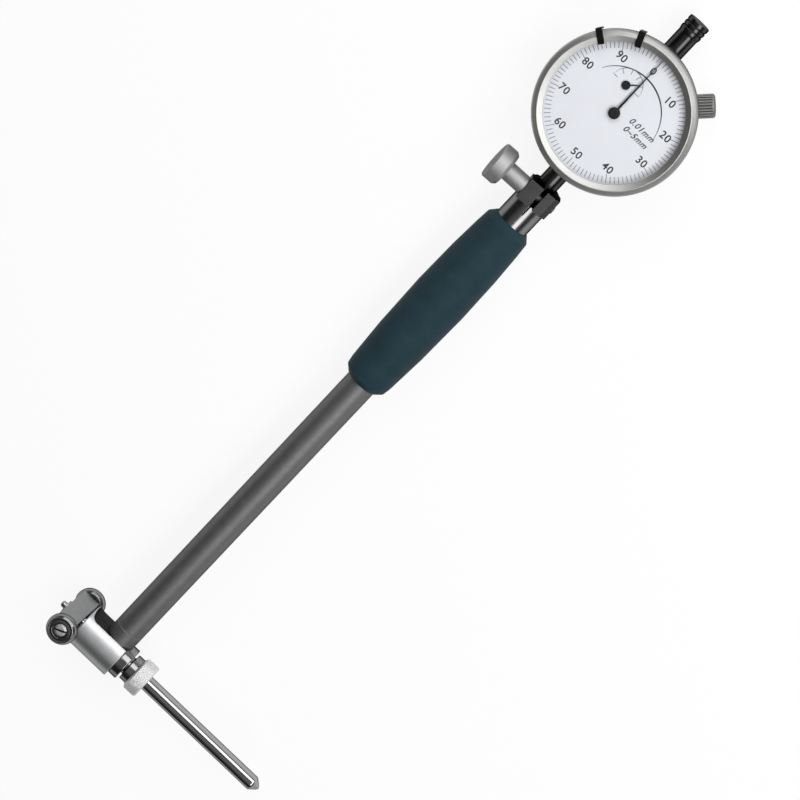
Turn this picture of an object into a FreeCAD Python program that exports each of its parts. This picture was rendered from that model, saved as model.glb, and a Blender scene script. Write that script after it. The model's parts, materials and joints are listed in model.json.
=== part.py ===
import FreeCAD, Part
import Sketcher
import math
import os
import re

# Dial bore gauge: a two-point bore head with a centring bridge on a long tube, a plastic grip,
# and a split clamp that holds a dial indicator with a rack-and-gear movement.
#
# Gauge frame: the measuring axis is X (towards the fixed anvil), the tube runs along Y
# (towards the dial), and Z points out of the dial. All sizes are millimetres.
# The whole gauge lies on its back: one bridge wheel and the far edge of the case touch the
# ground, so every piece is tipped about X by the small angle that the two heights give.

os.makedirs("parts", exist_ok=True)
doc = FreeCAD.newDocument("dial_bore_gauge")
V = FreeCAD.Vector

# ---------------------------------------------------------------- driving dimensions

DIMENSIONS = [
    # bore head
    ("body_radius", 9.0, "head body, along X"),
    ("body_left", -14.5, "end of the body at the bridge"),
    ("body_right", 5.0, "end of the body at the anvil"),
    ("flat_height", 6.6, "milled flat under the tube"),
    ("cutter_radius", 2.2, "run-out of the milled flat"),
    ("flat_left", -12.0, "where the run-out starts"),
    ("slot_left", -6.0, "lever slot"),
    ("slot_right", 1.6, "lever slot"),
    ("slot_floor", -1.6, "lever slot"),
    ("slot_width", 2.4, "lever slot, along Z"),
    # lever
    ("lever_arm", 4.5, "both arms of the right-angle lever"),
    ("lever_tip", 0.9, "radius of the lever's round ends"),
    ("lever_boss", 1.25, "radius round the lever's pivot"),
    ("lever_width", 2.0, "along Z"),
    ("lever_web", 1.2, "width of each arm"),
    ("lever_pin_radius", 0.8, ""),
    ("lever_pin_half", 7.3, "half the pin's length"),
    ("touch_gap", 0.03, "between pieces that push each other"),
    ("running_gap", 0.04, "radial clearance of sliding and turning fits"),
    # measuring contact
    ("contact_radius", 1.35, ""),
    ("contact_left", -26.1, "end of the contact"),
    ("contact_flange", 2.0, "guide flange radius"),
    ("flange_left", -14.0, ""),
    ("flange_right", -11.5, ""),
    ("contact_stem", 1.05, "inner stem radius"),
    ("spring_seat", -7.2, "shoulder that the contact spring bears on"),
    # anvil side
    ("anvil_radius", 3.1, ""),
    ("anvil_inner", 2.7, "inner end of the anvil"),
    ("anvil_outer", 78.4, "measuring end of the anvil"),
    ("anvil_nose", 3.0, "length of the tapered nose"),
    ("anvil_tip", 2.2, "radius where the nose rounds over"),
    ("bush_spigot", 4.95, ""),
    ("bush_inner", 2.6, ""),
    ("bush_collar", 7.05, ""),
    ("collar_right", 8.9, ""),
    ("bush_thread", 4.15, "neck that the lock nut runs on"),
    ("thread_right", 17.0, ""),
    ("nut_left", 9.7, ""),
    ("nut_hub", 5.8, ""),
    ("nut_step", 12.9, "where the knurled head starts"),
    ("nut_head", 7.35, ""),
    ("nut_right", 19.1, ""),
    # centring bridge
    ("bridge_left", -23.4, ""),
    ("bridge_right", -15.5, ""),
    ("bridge_half_width", 14.3, "along Z"),
    ("bridge_half_height", 3.6, "along Y"),
    ("bridge_boss", 2.7, "rounded boss round the contact"),
    ("boss_height", 0.7, ""),
    ("guide_offset", 6.2, "guide pins, along Z"),
    ("guide_radius", 1.0, ""),
    ("guide_left", -21.0, ""),
    ("guide_right", -6.5, ""),
    ("guide_seat", -9.5, "bottom of the bridge springs' pockets"),
    ("guide_pocket", 1.78, ""),
    ("wheel_radius", 6.15, ""),
    ("wheel_middle", -18.5, "wheel axle, along X"),
    ("wheel_width", 4.4, ""),
    ("wheel_recess", 3.2, ""),
    ("recess_depth", 1.0, ""),
    ("axle_radius", 1.5, ""),
    ("axle_depth", 9.0, "inner end of the axle screw"),
    ("axle_head", 2.8, ""),
    # springs
    ("wire", 0.36, "thickness of every spring's wire"),
    # tube, push rod and grip
    ("tube_radius", 6.1, ""),
    ("tube_bore", 4.4, ""),
    ("socket_top", 12.3, "joint between the socket and the tube"),
    ("socket_bore", 2.6, ""),
    ("tube_proud", 5.7, "how far the tube stands out of the grip, inside the holder"),
    ("rod_radius", 1.0, ""),
    ("rod_short", 7.0, "how far the push rod stays below the tube's top"),
    ("rod_button", 1.9, "button at the top of the push rod"),
    ("guide_length", 6.0, "each push rod guide"),
    ("low_guide", 8.0, "lower guide, above the socket"),
    ("guide_drop", 24.0, "upper guide, below the tube's top"),
    ("grip_bottom", 148.5, ""),
    ("grip_foot", 6.9, "radius at the grip's lower end"),
    ("grip_length", 81.8, ""),
    ("shoulder_radius", 9.35, ""),
    ("belly_radius", 10.8, ""),
    ("neck_radius", 9.75, ""),
    ("edge_radius", 9.25, ""),
    ("grip_mouth", 7.2, ""),
    # split clamp
    ("sleeve_wall", 0.7, "sleeve over the tube"),
    ("sleeve_length", 10.05, ""),
    ("clamp_height", 8.6, "the split ring and its ears"),
    ("clamp_turn", 8.0, "the clamp's turn about the tube, degrees"),
    ("ear_reach_left", 6.7, "outer side of the ear next to the screw's shoulder"),
    ("ear_reach_right", 6.6, ""),
    ("ear_depth", 4.9, "how far the ears stand out in front of the ring"),
    ("clamp_slot", 1.8, ""),
    ("sleeve_slit", 0.5, ""),
    ("screw_thread", 1.5, ""),
    ("screw_shoulder", 3.55, ""),
    ("shoulder_length", 8.2, ""),
    ("screw_head", 7.3, ""),
    ("head_length", 5.9, ""),
    # indicator case
    ("stem_shown", 10.1, "stem between the clamp and the case"),
    ("stem_held", 10.0, "stem inside the clamp"),
    ("stem_radius", 4.0, "standard 8 mm clamping stem"),
    ("case_radius", 26.3, ""),
    ("case_wall", 2.3, ""),
    ("case_back", -9.0, ""),
    ("case_front", 7.5, ""),
    ("cover_back", -10.0, ""),
    ("cover_screw", 0.8, ""),
    # bezel and dial
    ("bezel_gap", 0.08, "radial clearance of the bezel on the case"),
    ("bezel_back", 4.3, ""),
    ("bezel_front", 12.8, ""),
    ("rim_width", 2.8, "bezel, outside the case"),
    ("band_depth", 0.5, "knurled band, under the rim"),
    ("band_front", 7.0, ""),
    ("rim_slope", 1.9, "from the rim's side in to the ridge"),
    ("lip_width", 1.0, "from the case's side in to the dial opening"),
    ("seat_width", 0.4, "from the case's side in to the crystal's seat"),
    ("rim_height", 10.6, "where the rim starts to round over"),
    ("crystal_back", 11.0, ""),
    ("crystal_thickness", 0.8, ""),
    ("dial_face", 9.0, ""),
    ("dial_thickness", 0.4, ""),
    ("dial_seam", 16.8, "radius between the turning ring and the fixed centre"),
    # limit markers, knob and cap
    ("right_marker", -23.5, "clockwise from the top, degrees"),
    ("left_marker", -53.1, "clockwise from the top, degrees"),
    ("marker_reach", 5.7, "length of the marker's top"),
    ("marker_width", 2.3, ""),
    ("marker_sheet", 0.6, "thickness of the marker's metal"),
    ("knob_radius", 4.35, ""),
    ("knob_ribs", 24, ""),
    ("knob_level", -0.5, "knob axis, along Z"),
    ("knob_gap", 1.0, "between the case and the knob's head"),
    ("knob_length", 6.8, ""),
    ("knob_shank", 1.5, ""),
    ("knob_angle", 44.0, "clockwise from the top, degrees"),
    ("cap_neck", 10.3, "smooth part outside the case"),
    ("cap_crown", 5.3, "grooved head"),
    ("cap_groove", 0.3, ""),
    # movement
    ("spindle_radius", 2.3, ""),
    ("spindle_out", 2.8, "spindle below the stem, at rest"),
    ("spindle_above", 32.6, "spindle above the dial centre"),
    ("point_radius", 1.9, ""),
    ("arbor_x", -3.65, "rack wheel arbor, from the dial centre"),
    ("arbor_y", 9.72, "rack wheel arbor, from the dial centre"),
    ("rack_pitch", 0.625, ""),
    ("wheel_teeth", 100, ""),
    ("pinion_teeth", 10, ""),
    ("rack_pinion_teeth", 16, ""),
    ("gear_back", 3.4, "back of the big wheel"),
    ("gear_thickness", 0.5, ""),
    ("arbor_radius", 0.5, ""),
    ("base_back", -4.4, ""),
    ("base_thickness", 0.8, ""),
    ("bridge_plate_back", 2.55, ""),
    ("front_plate_back", 5.4, ""),
    ("plate_thickness", 0.5, ""),
    ("plate_margin", 6.5, "from the case's bore in to the inner plates"),
    ("pillar_radius", 1.2, ""),
    ("pointer_back", 9.8, ""),
    ("pointer_thickness", 0.25, ""),
    ("pointer_hub", 2.1, ""),
    ("pointer_length", 24.8, ""),
    ("pointer_width", 0.87, ""),
    ("hand_back", 9.3, ""),
    ("hand_hub", 1.6, ""),
    ("hand_length", 4.5, ""),
    ("hand_width", 0.7, ""),
    ("hand_angle", 43.0, "counter hand at rest, above +X, degrees"),
    ("return_x", 6.0, "return spring, beside the spindle"),
    ("return_low", 17.4, "return spring's lower end, below the dial centre"),
    ("return_length", 14.0, ""),
]

sizes = doc.addObject("Spreadsheet::Sheet", "sizes")
for row, (alias, number, note) in enumerate(DIMENSIONS, start=1):
    sizes.set("A%d" % row, alias)
    sizes.set("B%d" % row, str(number))
    sizes.set("C%d" % row, note)
    sizes.setAlias("B%d" % row, alias)
doc.recompute()

ALIASES = {alias for alias, _, _ in DIMENSIONS}

# places that follow from the driving dimensions, as expressions of their aliases
GRIP_TOP = "(grip_bottom + grip_length)"
TUBE_TOP = "(%s + tube_proud)" % GRIP_TOP
ROD_TOP = "(%s - rod_short)" % TUBE_TOP
HOLDER_BOTTOM = "(%s + 0.05)" % GRIP_TOP
HOLDER_SEAT = "(%s + 0.2)" % TUBE_TOP
HOLDER_STEP = "(%s + sleeve_length)" % HOLDER_BOTTOM
HOLDER_TOP = "(%s + clamp_height)" % HOLDER_STEP
CLAMP_RING = "(stem_radius + 1.5)"
EAR_FRONT = "(%s + ear_depth)" % CLAMP_RING
SCREW_FRONT = "(stem_radius + screw_thread + 1.5)"
SCREW_HEIGHT = "(%s + clamp_height / 2)" % HOLDER_STEP
DIAL = "(%s + stem_shown + case_radius)" % HOLDER_TOP
CASE_BORE = "(case_radius - case_wall)"
STEM_BOTTOM = "(%s - stem_held)" % HOLDER_TOP
BEZEL_RADIUS = "(case_radius + rim_width)"
RIDGE = "(%s - rim_slope)" % BEZEL_RADIUS
OPENING = "(case_radius - lip_width)"
SEAT = "(case_radius - seat_width)"
MARKER_OUTER = "(%s + 0.9)" % BEZEL_RADIUS
KNOB_INNER = "(case_radius + knob_gap)"
KNOB_OUTER = "(%s + knob_length)" % KNOB_INNER
CAP_STEP = "(%s + case_radius + cap_neck)" % DIAL
CAP_TOP = "(%s + cap_crown)" % CAP_STEP
CAP_BORE = "(spindle_radius + 0.3)"
SPINDLE_BOTTOM = "(%s - spindle_out)" % STEM_BOTTOM
PLATE_RADIUS = "(%s - plate_margin)" % CASE_BORE
RETURN_BOTTOM = "(%s - return_low)" % DIAL
RETURN_TOP = "(%s + return_length)" % RETURN_BOTTOM
WHEEL_FACE = "(bridge_half_width + 0.2 + wheel_width)"
CONTACT_INNER = "(-lever_arm - lever_tip - touch_gap)"


def cells(expression):
    """The expression with every alias pointed at the sheet."""
    return re.sub(r"[a-z_]+", lambda word: "sizes." + word.group() if word.group() in ALIASES
                  else word.group(), str(expression))


def value(expression):
    """The number that an expression of aliases gives."""
    return float(sizes.evalExpression(cells(expression).replace("sizes.", "")))


# ---------------------------------------------------------------- placements

ALONG_X = FreeCAD.Rotation(V(0, 1, 0), 90)
ALONG_Y = FreeCAD.Rotation(V(1, 0, 0), -90)
ALONG_Z = FreeCAD.Rotation()

REST_ANGLE = math.degrees(math.asin((value(WHEEL_FACE) + value("cover_back"))
                                    / value(DIAL + " + case_radius")))
parts = {}


def finish(piece, label, along=ALONG_Z, at=(0, 0, 0), turn=ALONG_Z, centre=(0, 0, 0)):
    """Name a sub-part, lay it along its axis, move it to a point and turn it about a centre."""
    piece.Label = label
    spot = FreeCAD.Placement(V(*[value(part) for part in at]), along)
    swing = FreeCAD.Placement(V(*[value(part) for part in centre]), turn)
    piece.Placement = swing.multiply(spot)
    parts[label] = piece
    return piece


# ---------------------------------------------------------------- sketched features

def new_body(name):
    return doc.addObject("PartDesign::Body", name)


def origin_plane(body, role):
    return next(item for item in body.Origin.OriginFeatures if item.Role == role)


def new_sketch(body, plane, level=None):
    sketch = body.newObject("Sketcher::SketchObject", "sketch")
    sketch.AttachmentSupport = [(origin_plane(body, plane), "")]
    sketch.MapMode = "FlatFace"
    if level is not None:
        sketch.setExpression("AttachmentOffset.Base.z", cells(level))
    return sketch


def arc_between(start, end, radius):
    """An arc from start to end; a positive radius bulges to the right of the way."""
    half = (end - start) * 0.5
    sag = abs(radius) - math.sqrt(max(radius * radius - half.Length ** 2, 0))
    side = V(half.y, -half.x, 0).normalize() * (sag if radius > 0 else -sag)
    return Part.Arc(start, start + half + side, end)


def outline(sketch, corners):
    """Close an outline of (x, y) or (x, y, radius of the arc to the next corner)."""
    points = [V(value(corner[0]), value(corner[1]), 0) for corner in corners]
    ends = []
    for index, corner in enumerate(corners):
        start = points[index]
        end = points[(index + 1) % len(points)]
        if len(corner) == 3:
            edge = sketch.addGeometry(arc_between(start, end, value(corner[2])))
            rule = sketch.addConstraint(Sketcher.Constraint("Radius", edge, abs(value(corner[2]))))
            sketch.setExpression("Constraints[%d]" % rule, "abs(%s)" % cells(corner[2]))
        else:
            edge = sketch.addGeometry(Part.LineSegment(start, end))
        forwards = (sketch.getPoint(edge, 1) - start).Length < (sketch.getPoint(edge, 2) - start).Length
        ends.append((edge, 1, 2) if forwards else (edge, 2, 1))
    for index, (edge, first, last) in enumerate(ends):
        after, begin, _ = ends[(index + 1) % len(ends)]
        sketch.addConstraint(Sketcher.Constraint("Coincident", edge, last, after, begin))
    for (edge, first, _), corner in zip(ends, corners):
        for kind, size in (("DistanceX", corner[0]), ("DistanceY", corner[1])):
            rule = sketch.addConstraint(Sketcher.Constraint(kind, -1, 1, edge, first, value(size)))
            sketch.setExpression("Constraints[%d]" % rule, cells(size))
    return sketch


def circle(sketch, x, y, radius):
    edge = sketch.addGeometry(Part.Circle(V(value(x), value(y), 0), V(0, 0, 1), value(radius)))
    for kind, size in (("DistanceX", x), ("DistanceY", y)):
        rule = sketch.addConstraint(Sketcher.Constraint(kind, -1, 1, edge, 3, value(size)))
        sketch.setExpression("Constraints[%d]" % rule, cells(size))
    rule = sketch.addConstraint(Sketcher.Constraint("Radius", edge, value(radius)))
    sketch.setExpression("Constraints[%d]" % rule, cells(radius))
    return sketch


def revolve(body, corners):
    """Turn an outline of (radius, height) about the body's Z axis."""
    sketch = outline(new_sketch(body, "XZ_Plane"), corners)
    solid = body.newObject("PartDesign::Revolution", "revolution")
    solid.Profile = sketch
    solid.ReferenceAxis = (sketch, ["V_Axis"])
    solid.Angle = 360
    return solid


def raised(body, sketch, height, kind="PartDesign::Pad", backwards=False, both=False):
    solid = body.newObject(kind, "feature")
    solid.Profile = sketch
    solid.setExpression("Length", cells(height))
    solid.Reversed = backwards
    solid.Midplane = both
    return solid


def sunk(body, sketch, depth, backwards=False, both=False):
    return raised(body, sketch, depth, "PartDesign::Pocket", backwards, both)


def repeat_round(body, feature, number):
    """Repeat a feature evenly round the body's Z axis."""
    pattern = body.newObject("PartDesign::PolarPattern", "pattern")
    pattern.Originals = [feature]
    pattern.Axis = (origin_plane(body, "Z_Axis"), [""])
    pattern.Angle = 360
    pattern.setExpression("Occurrences", cells(number))
    body.Tip = pattern
    return pattern


def turned(name, corners, along=ALONG_Z, at=(0, 0, 0), turn=ALONG_Z, centre=(0, 0, 0)):
    """A sub-part turned on the lathe."""
    body = new_body(name)
    revolve(body, corners)
    return finish(body, name, along, at, turn, centre)


# ---------------------------------------------------------------- solid primitives

def rod(radius, start, end, along="z", at=("0", "0", "0")):
    """A cylinder from start to end along one axis; at gives the other two places."""
    solid = doc.addObject("Part::Cylinder", "rod")
    solid.setExpression("Radius", cells(radius))
    solid.setExpression("Height", cells("(%s) - (%s)" % (end, start)))
    turns = {"x": ALONG_X, "y": ALONG_Y, "z": ALONG_Z}
    solid.Placement = FreeCAD.Placement(V(0, 0, 0), turns[along])
    for axis, place in zip("xyz", at):
        solid.setExpression("Placement.Base." + axis, cells(start if axis == along else place))
    return solid


def block(low, high):
    """A box between two corners."""
    solid = doc.addObject("Part::Box", "block")
    for side, axis, first, last in zip(("Length", "Width", "Height"), "xyz", low, high):
        solid.setExpression(side, cells("(%s) - (%s)" % (last, first)))
        solid.setExpression("Placement.Base." + axis, cells(first))
    return solid


def joined(solids):
    union = doc.addObject("Part::MultiFuse", "union")
    union.Shapes = solids
    union.Refine = True
    return union


def without(base, tools):
    cut = doc.addObject("Part::Cut", "cut")
    cut.Base = base
    cut.Tool = joined(tools) if len(tools) > 1 else tools[0]
    cut.Refine = True
    return cut


# ---------------------------------------------------------------- springs

def coil_spring(name, radius, length, turns, along, at):
    """A compression or extension spring of square wire, from z = 0 to its length."""
    body = new_body(name)
    sketch = new_sketch(body, "XZ_Plane")
    outline(sketch, [("%s - wire / 2" % radius, "0"), ("%s + wire / 2" % radius, "0"),
                     ("%s + wire / 2" % radius, "wire"), ("%s - wire / 2" % radius, "wire")])
    coil = body.newObject("PartDesign::AdditiveHelix", "helix")
    coil.Profile = sketch
    coil.ReferenceAxis = (sketch, ["V_Axis"])
    coil.Mode = "height-turns-growth"
    coil.setExpression("Height", cells("(%s) - wire" % length))
    coil.Turns = turns
    return finish(body, name, along, at)


# ---------------------------------------------------------------- bore head

def head_body():
    """Drum with a milled flat, the lever slot, the contact's bore and the guide pins' bores."""
    drum = rod("body_radius", "body_left", "body_right", "x")
    past = "body_radius + 1"
    cuts = [
        block(("flat_left", "flat_height", "-(%s)" % past), ("body_right + 1", "body_radius + 3", past)),
        rod("cutter_radius", "-(%s)" % past, past, "z", ("flat_left", "flat_height + cutter_radius", "0")),
        block(("slot_left", "slot_floor", "-slot_width / 2"), ("slot_right", "body_radius + 2", "slot_width / 2")),
        rod("contact_flange + running_gap", "body_left - 1", "spring_seat", "x"),
        rod("contact_stem + running_gap", "spring_seat - 1", "slot_left + 1", "x"),
        rod("bush_spigot", "bush_inner - 0.1", "body_right + 1", "x"),
        rod("lever_pin_radius", "-body_radius", "body_radius", "z", ("-lever_arm", "lever_arm", "0")),
    ]
    for side in ("", "-"):
        at = ("0", "0", side + "guide_offset")
        cuts.append(rod("guide_pocket", "body_left - 1", "guide_seat", "x", at))
        cuts.append(rod("guide_radius + running_gap", "guide_seat - 1", "guide_right + 1.5", "x", at))
    finish(without(drum, cuts), "head_body")


def transfer_lever():
    """Right-angle lever that turns the contact's stroke into the push rod's, and its pin."""
    low = "-lever_width / 2"
    high = "lever_width / 2"
    web = "lever_web / 2"
    solids = [
        rod("lever_boss", low, high, "z", ("-lever_arm", "lever_arm", "0")),
        rod("lever_tip", low, high, "z", ("-lever_arm", "0", "0")),
        rod("lever_tip", low, high, "z", ("0", "lever_arm", "0")),
        block(("-lever_arm - " + web, "0", low), ("-lever_arm + " + web, "lever_arm", high)),
        block(("-lever_arm", "lever_arm - " + web, low), ("0", "lever_arm + " + web, high)),
    ]
    eye = rod("lever_pin_radius + running_gap", "-lever_width", "lever_width", "z",
              ("-lever_arm", "lever_arm", "0"))
    finish(without(joined(solids), [eye]), "transfer_lever")
    turned("lever_pin", [
        ("0", "-lever_pin_half"),
        ("lever_pin_radius", "-lever_pin_half"),
        ("lever_pin_radius", "lever_pin_half"),
        ("0", "lever_pin_half")], ALONG_Z, ("-lever_arm", "lever_arm", "0"))


def measuring_contact():
    """Contact with its guide flange and stem, and the spring behind the flange."""
    turned("measuring_contact", [
        ("0", "contact_left"),
        ("contact_radius * 0.6", "contact_left + contact_radius * 0.15"),
        ("contact_radius", "contact_left + contact_radius * 0.75"),
        ("contact_radius", "flange_left"),
        ("contact_flange", "flange_left"),
        ("contact_flange", "flange_right"),
        ("contact_stem", "flange_right"),
        ("contact_stem", CONTACT_INNER),
        ("0", CONTACT_INNER)], ALONG_X)
    coil_spring("contact_spring", "(contact_flange + contact_stem) / 2", "spring_seat - flange_right", 3,
                ALONG_X, ("flange_right", "0", "0"))


def anvil_side():
    """Bush in the head, interchangeable anvil rod and its lock nut."""
    bore = "anvil_radius + running_gap"
    thread = "bush_thread + running_gap"
    turned("anvil_bush", [
        (bore, "bush_inner"),
        ("bush_spigot", "bush_inner"),
        ("bush_spigot", "body_right"),
        ("bush_collar - 0.4", "body_right"),
        ("bush_collar", "body_right + 0.4"),
        ("bush_collar", "collar_right - 0.4"),
        ("bush_collar - 0.4", "collar_right"),
        ("bush_thread", "collar_right"),
        ("bush_thread", "thread_right"),
        (bore, "thread_right")], ALONG_X)
    turned("fixed_anvil", [
        ("0", "anvil_inner"),
        ("anvil_radius", "anvil_inner"),
        ("anvil_radius", "anvil_outer - anvil_nose"),
        ("anvil_tip", "anvil_outer - 0.8"),
        ("anvil_tip * 0.5", "anvil_outer"),
        ("0", "anvil_outer")], ALONG_X)
    turned("anvil_lock_nut", [
        (thread, "nut_left"),
        ("nut_hub", "nut_left"),
        ("nut_hub", "nut_step"),
        ("nut_head - 0.4", "nut_step"),
        ("nut_head", "nut_step + 0.4"),
        ("nut_head", "nut_right - 0.5"),
        ("nut_head - 0.5", "nut_right"),
        (bore, "nut_right"),
        (bore, "thread_right + 0.4"),
        (thread, "thread_right + 0.4")], ALONG_X)


def centring_bridge():
    """Crossbar that carries the two centring wheels, on two sprung guide pins."""
    low = "-bridge_half_width"
    bar = block(("bridge_left", "-bridge_half_height", low),
                ("bridge_right", "bridge_half_height", "bridge_half_width"))
    boss = rod("bridge_boss", "bridge_left - boss_height", "bridge_left + 1", "x")
    cuts = [
        rod("contact_radius + running_gap", "bridge_left - 2", "bridge_right + 1", "x"),
        rod("axle_radius", "axle_depth", "bridge_half_width + 1", "z", ("wheel_middle", "0", "0")),
        rod("axle_radius", "-bridge_half_width - 1", "-axle_depth", "z", ("wheel_middle", "0", "0")),
    ]
    for side in ("", "-"):
        cuts.append(rod("guide_radius", "guide_left", "bridge_right + 1", "x", ("0", "0", side + "guide_offset")))
    finish(without(joined([bar, boss]), cuts), "centring_bridge")
    for side, tag in (("", "front"), ("-", "rear")):
        turned("bridge_pin_" + tag, [
            ("0", "guide_left"),
            ("guide_radius", "guide_left"),
            ("guide_radius", "guide_right"),
            ("0", "guide_right")], ALONG_X, ("0", "0", side + "guide_offset"))
        coil_spring("bridge_spring_" + tag, "(guide_pocket + guide_radius) / 2", "guide_seat - bridge_right", 3,
                    ALONG_X, ("bridge_right", "0", side + "guide_offset"))


def bridge_wheel(tag, way):
    """One centring wheel and its axle screw; way turns the front pair into the rear one."""
    inner = "bridge_half_width + 0.2"
    outer = "(%s + wheel_width)" % inner
    hole = "axle_radius + running_gap"
    turned("bridge_wheel_" + tag, [
        (hole, inner),
        ("wheel_radius - 0.7", inner),
        ("wheel_radius", inner + " + 0.8"),
        ("wheel_radius", outer + " - 0.8"),
        ("wheel_radius - 0.7", outer),
        ("wheel_recess", outer),
        ("wheel_recess", outer + " - recess_depth"),
        (hole, outer + " - recess_depth")], ALONG_Z, ("wheel_middle", "0", "0"), way)
    seat = "%s - recess_depth + running_gap" % outer
    body = new_body("wheel_screw_" + tag)
    revolve(body, [
        ("0", "axle_depth"),
        ("axle_radius", "axle_depth"),
        ("axle_radius", seat),
        ("axle_head", seat),
        ("axle_head", outer + " - 0.15"),
        ("0", outer + " - 0.15")])
    slot = new_sketch(body, "XY_Plane", outer)
    outline(slot, [("-axle_head", "-0.3"), ("axle_head", "-0.3"), ("axle_head", "0.3"), ("-axle_head", "0.3")])
    sunk(body, slot, "0.65")
    finish(body, "wheel_screw_" + tag, ALONG_Z, ("wheel_middle", "0", "0"), way)


# ---------------------------------------------------------------- tube, push rod and grip

def tube_and_rod():
    """Socket on the head's flat, long tube, and the push rod with its two guides."""
    socket = new_body("socket_blank")
    revolve(socket, [
        ("socket_bore", "flat_height"),
        ("tube_radius", "flat_height"),
        ("tube_radius", "socket_top"),
        ("socket_bore", "socket_top")])
    socket.Placement = FreeCAD.Placement(V(0, 0, 0), ALONG_Y)
    notch = rod("bush_collar + running_gap", "body_right - running_gap", "tube_radius + 1", "x")
    finish(without(socket, [notch]), "tube_socket")
    turned("main_tube", [
        ("tube_bore", "socket_top"),
        ("tube_radius", "socket_top"),
        ("tube_radius", TUBE_TOP),
        ("tube_bore", TUBE_TOP)], ALONG_Y)
    turned("push_rod", [
        ("0", "lever_arm + lever_tip + touch_gap"),
        ("rod_radius", "lever_arm + lever_tip + touch_gap"),
        ("rod_radius", ROD_TOP + " - 2.5"),
        ("rod_button", ROD_TOP + " - 2.5"),
        ("rod_button", ROD_TOP),
        ("0", ROD_TOP)], ALONG_Y)
    for tag, low in (("low", "socket_top + low_guide"), ("high", TUBE_TOP + " - guide_drop")):
        turned("rod_guide_" + tag, [
            ("rod_radius + running_gap", low),
            ("tube_bore", low),
            ("tube_bore", low + " + guide_length"),
            ("rod_radius + running_gap", low + " + guide_length")], ALONG_Y)


def grip():
    """Barrel-shaped plastic grip over the tube."""
    bore = "tube_radius + 0.05"
    turned("grip", [
        (bore, "grip_bottom"),
        ("grip_foot", "grip_bottom"),
        ("shoulder_radius - 0.5", "grip_bottom + grip_length * 0.025"),
        ("shoulder_radius", "grip_bottom + grip_length * 0.06"),
        ("(shoulder_radius + belly_radius) / 2 + 0.25", "grip_bottom + grip_length * 0.26"),
        ("belly_radius", "grip_bottom + grip_length * 0.53"),
        ("(neck_radius + belly_radius) / 2 + 0.15", "grip_bottom + grip_length * 0.75"),
        ("neck_radius", "grip_bottom + grip_length * 0.9"),
        ("edge_radius", GRIP_TOP + " - 2.5"),
        ("grip_mouth", GRIP_TOP),
        (bore, GRIP_TOP)], ALONG_Y)


# ---------------------------------------------------------------- split clamp

CLAMP_TURN = FreeCAD.Rotation(V(0, 1, 0), value("clamp_turn"))


def stem_holder():
    """Sleeve over the tube, with a split ring and two ears that squeeze the indicator's stem.
    Built along its own Z; its -Y is the gauge's front."""
    sleeve = "tube_radius + 0.02"
    grasp = "stem_radius + 0.02"
    body = new_body("stem_holder")
    revolve(body, [
        (sleeve, HOLDER_BOTTOM),
        ("tube_radius + sleeve_wall", HOLDER_BOTTOM),
        ("tube_radius + sleeve_wall", HOLDER_STEP),
        (CLAMP_RING, HOLDER_STEP),
        (CLAMP_RING, HOLDER_TOP),
        (grasp, HOLDER_TOP),
        (grasp, HOLDER_SEAT),
        (sleeve, HOLDER_SEAT)])
    ears = new_sketch(body, "XY_Plane", HOLDER_STEP)
    bevel = "ear_reach_right * 0.35"
    outline(ears, [
        ("-" + CLAMP_RING, "0"),
        ("-ear_reach_left", "-stem_radius / 2"),
        ("-ear_reach_left", "-" + EAR_FRONT),
        ("ear_reach_right - " + bevel, "-" + EAR_FRONT),
        ("ear_reach_right", "-%s + %s" % (EAR_FRONT, bevel)),
        ("ear_reach_right", "-stem_radius / 2"),
        (CLAMP_RING, "0")])
    raised(body, ears, "clamp_height")
    for width, level in (("clamp_slot", HOLDER_STEP), ("sleeve_slit", HOLDER_SEAT)):
        slot = new_sketch(body, "XY_Plane", level)
        front = "-2 * " + EAR_FRONT
        outline(slot, [("-%s / 2" % width, front), ("%s / 2" % width, front), ("%s / 2" % width, "0"),
                       ("-%s / 2" % width, "0")])
        sunk(body, slot, "sleeve_length + clamp_height", backwards=True)
    stem = new_sketch(body, "XY_Plane", HOLDER_SEAT)
    circle(stem, "0", "0", grasp)
    sunk(body, stem, "sleeve_length + clamp_height", backwards=True)
    hole = new_sketch(body, "YZ_Plane")
    circle(hole, "-" + SCREW_FRONT, SCREW_HEIGHT, "screw_thread + running_gap")
    sunk(body, hole, "4 * (ear_reach_left + ear_reach_right)", both=True)
    finish(body, "stem_holder", ALONG_Y, ("0", "0", "0"), CLAMP_TURN)


def clamp_screw():
    """Thumb screw of the clamp: thread, smooth shoulder and a broad head."""
    ear = "-ear_reach_left - touch_gap"
    step = "(%s - shoulder_length)" % ear
    end = "(%s - head_length)" % step
    turned("clamp_screw", [
        ("0", end),
        ("screw_head - 0.5", end),
        ("screw_head", end + " + 0.5"),
        ("screw_head", step + " - 1.2"),
        ("screw_head - 0.9", step),
        ("screw_shoulder", step),
        ("screw_shoulder", ear),
        ("screw_thread", ear),
        ("screw_thread", "ear_reach_right + 0.3"),
        ("0", "ear_reach_right + 0.3")], ALONG_X, ("0", SCREW_HEIGHT, SCREW_FRONT), CLAMP_TURN)


# ---------------------------------------------------------------- indicator case, bezel and dial

ON_DIAL = ("0", DIAL, "0")
COVER_SCREW_ANGLES = (45, 135, 225, 315)
COVER_SCREW_RING = "((%s + case_radius) / 2)" % CASE_BORE


def on_rim(angle):
    """Rotation that brings a piece built at the top of the dial to an angle clockwise of it."""
    return FreeCAD.Rotation(V(0, 0, 1), -angle)


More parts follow.
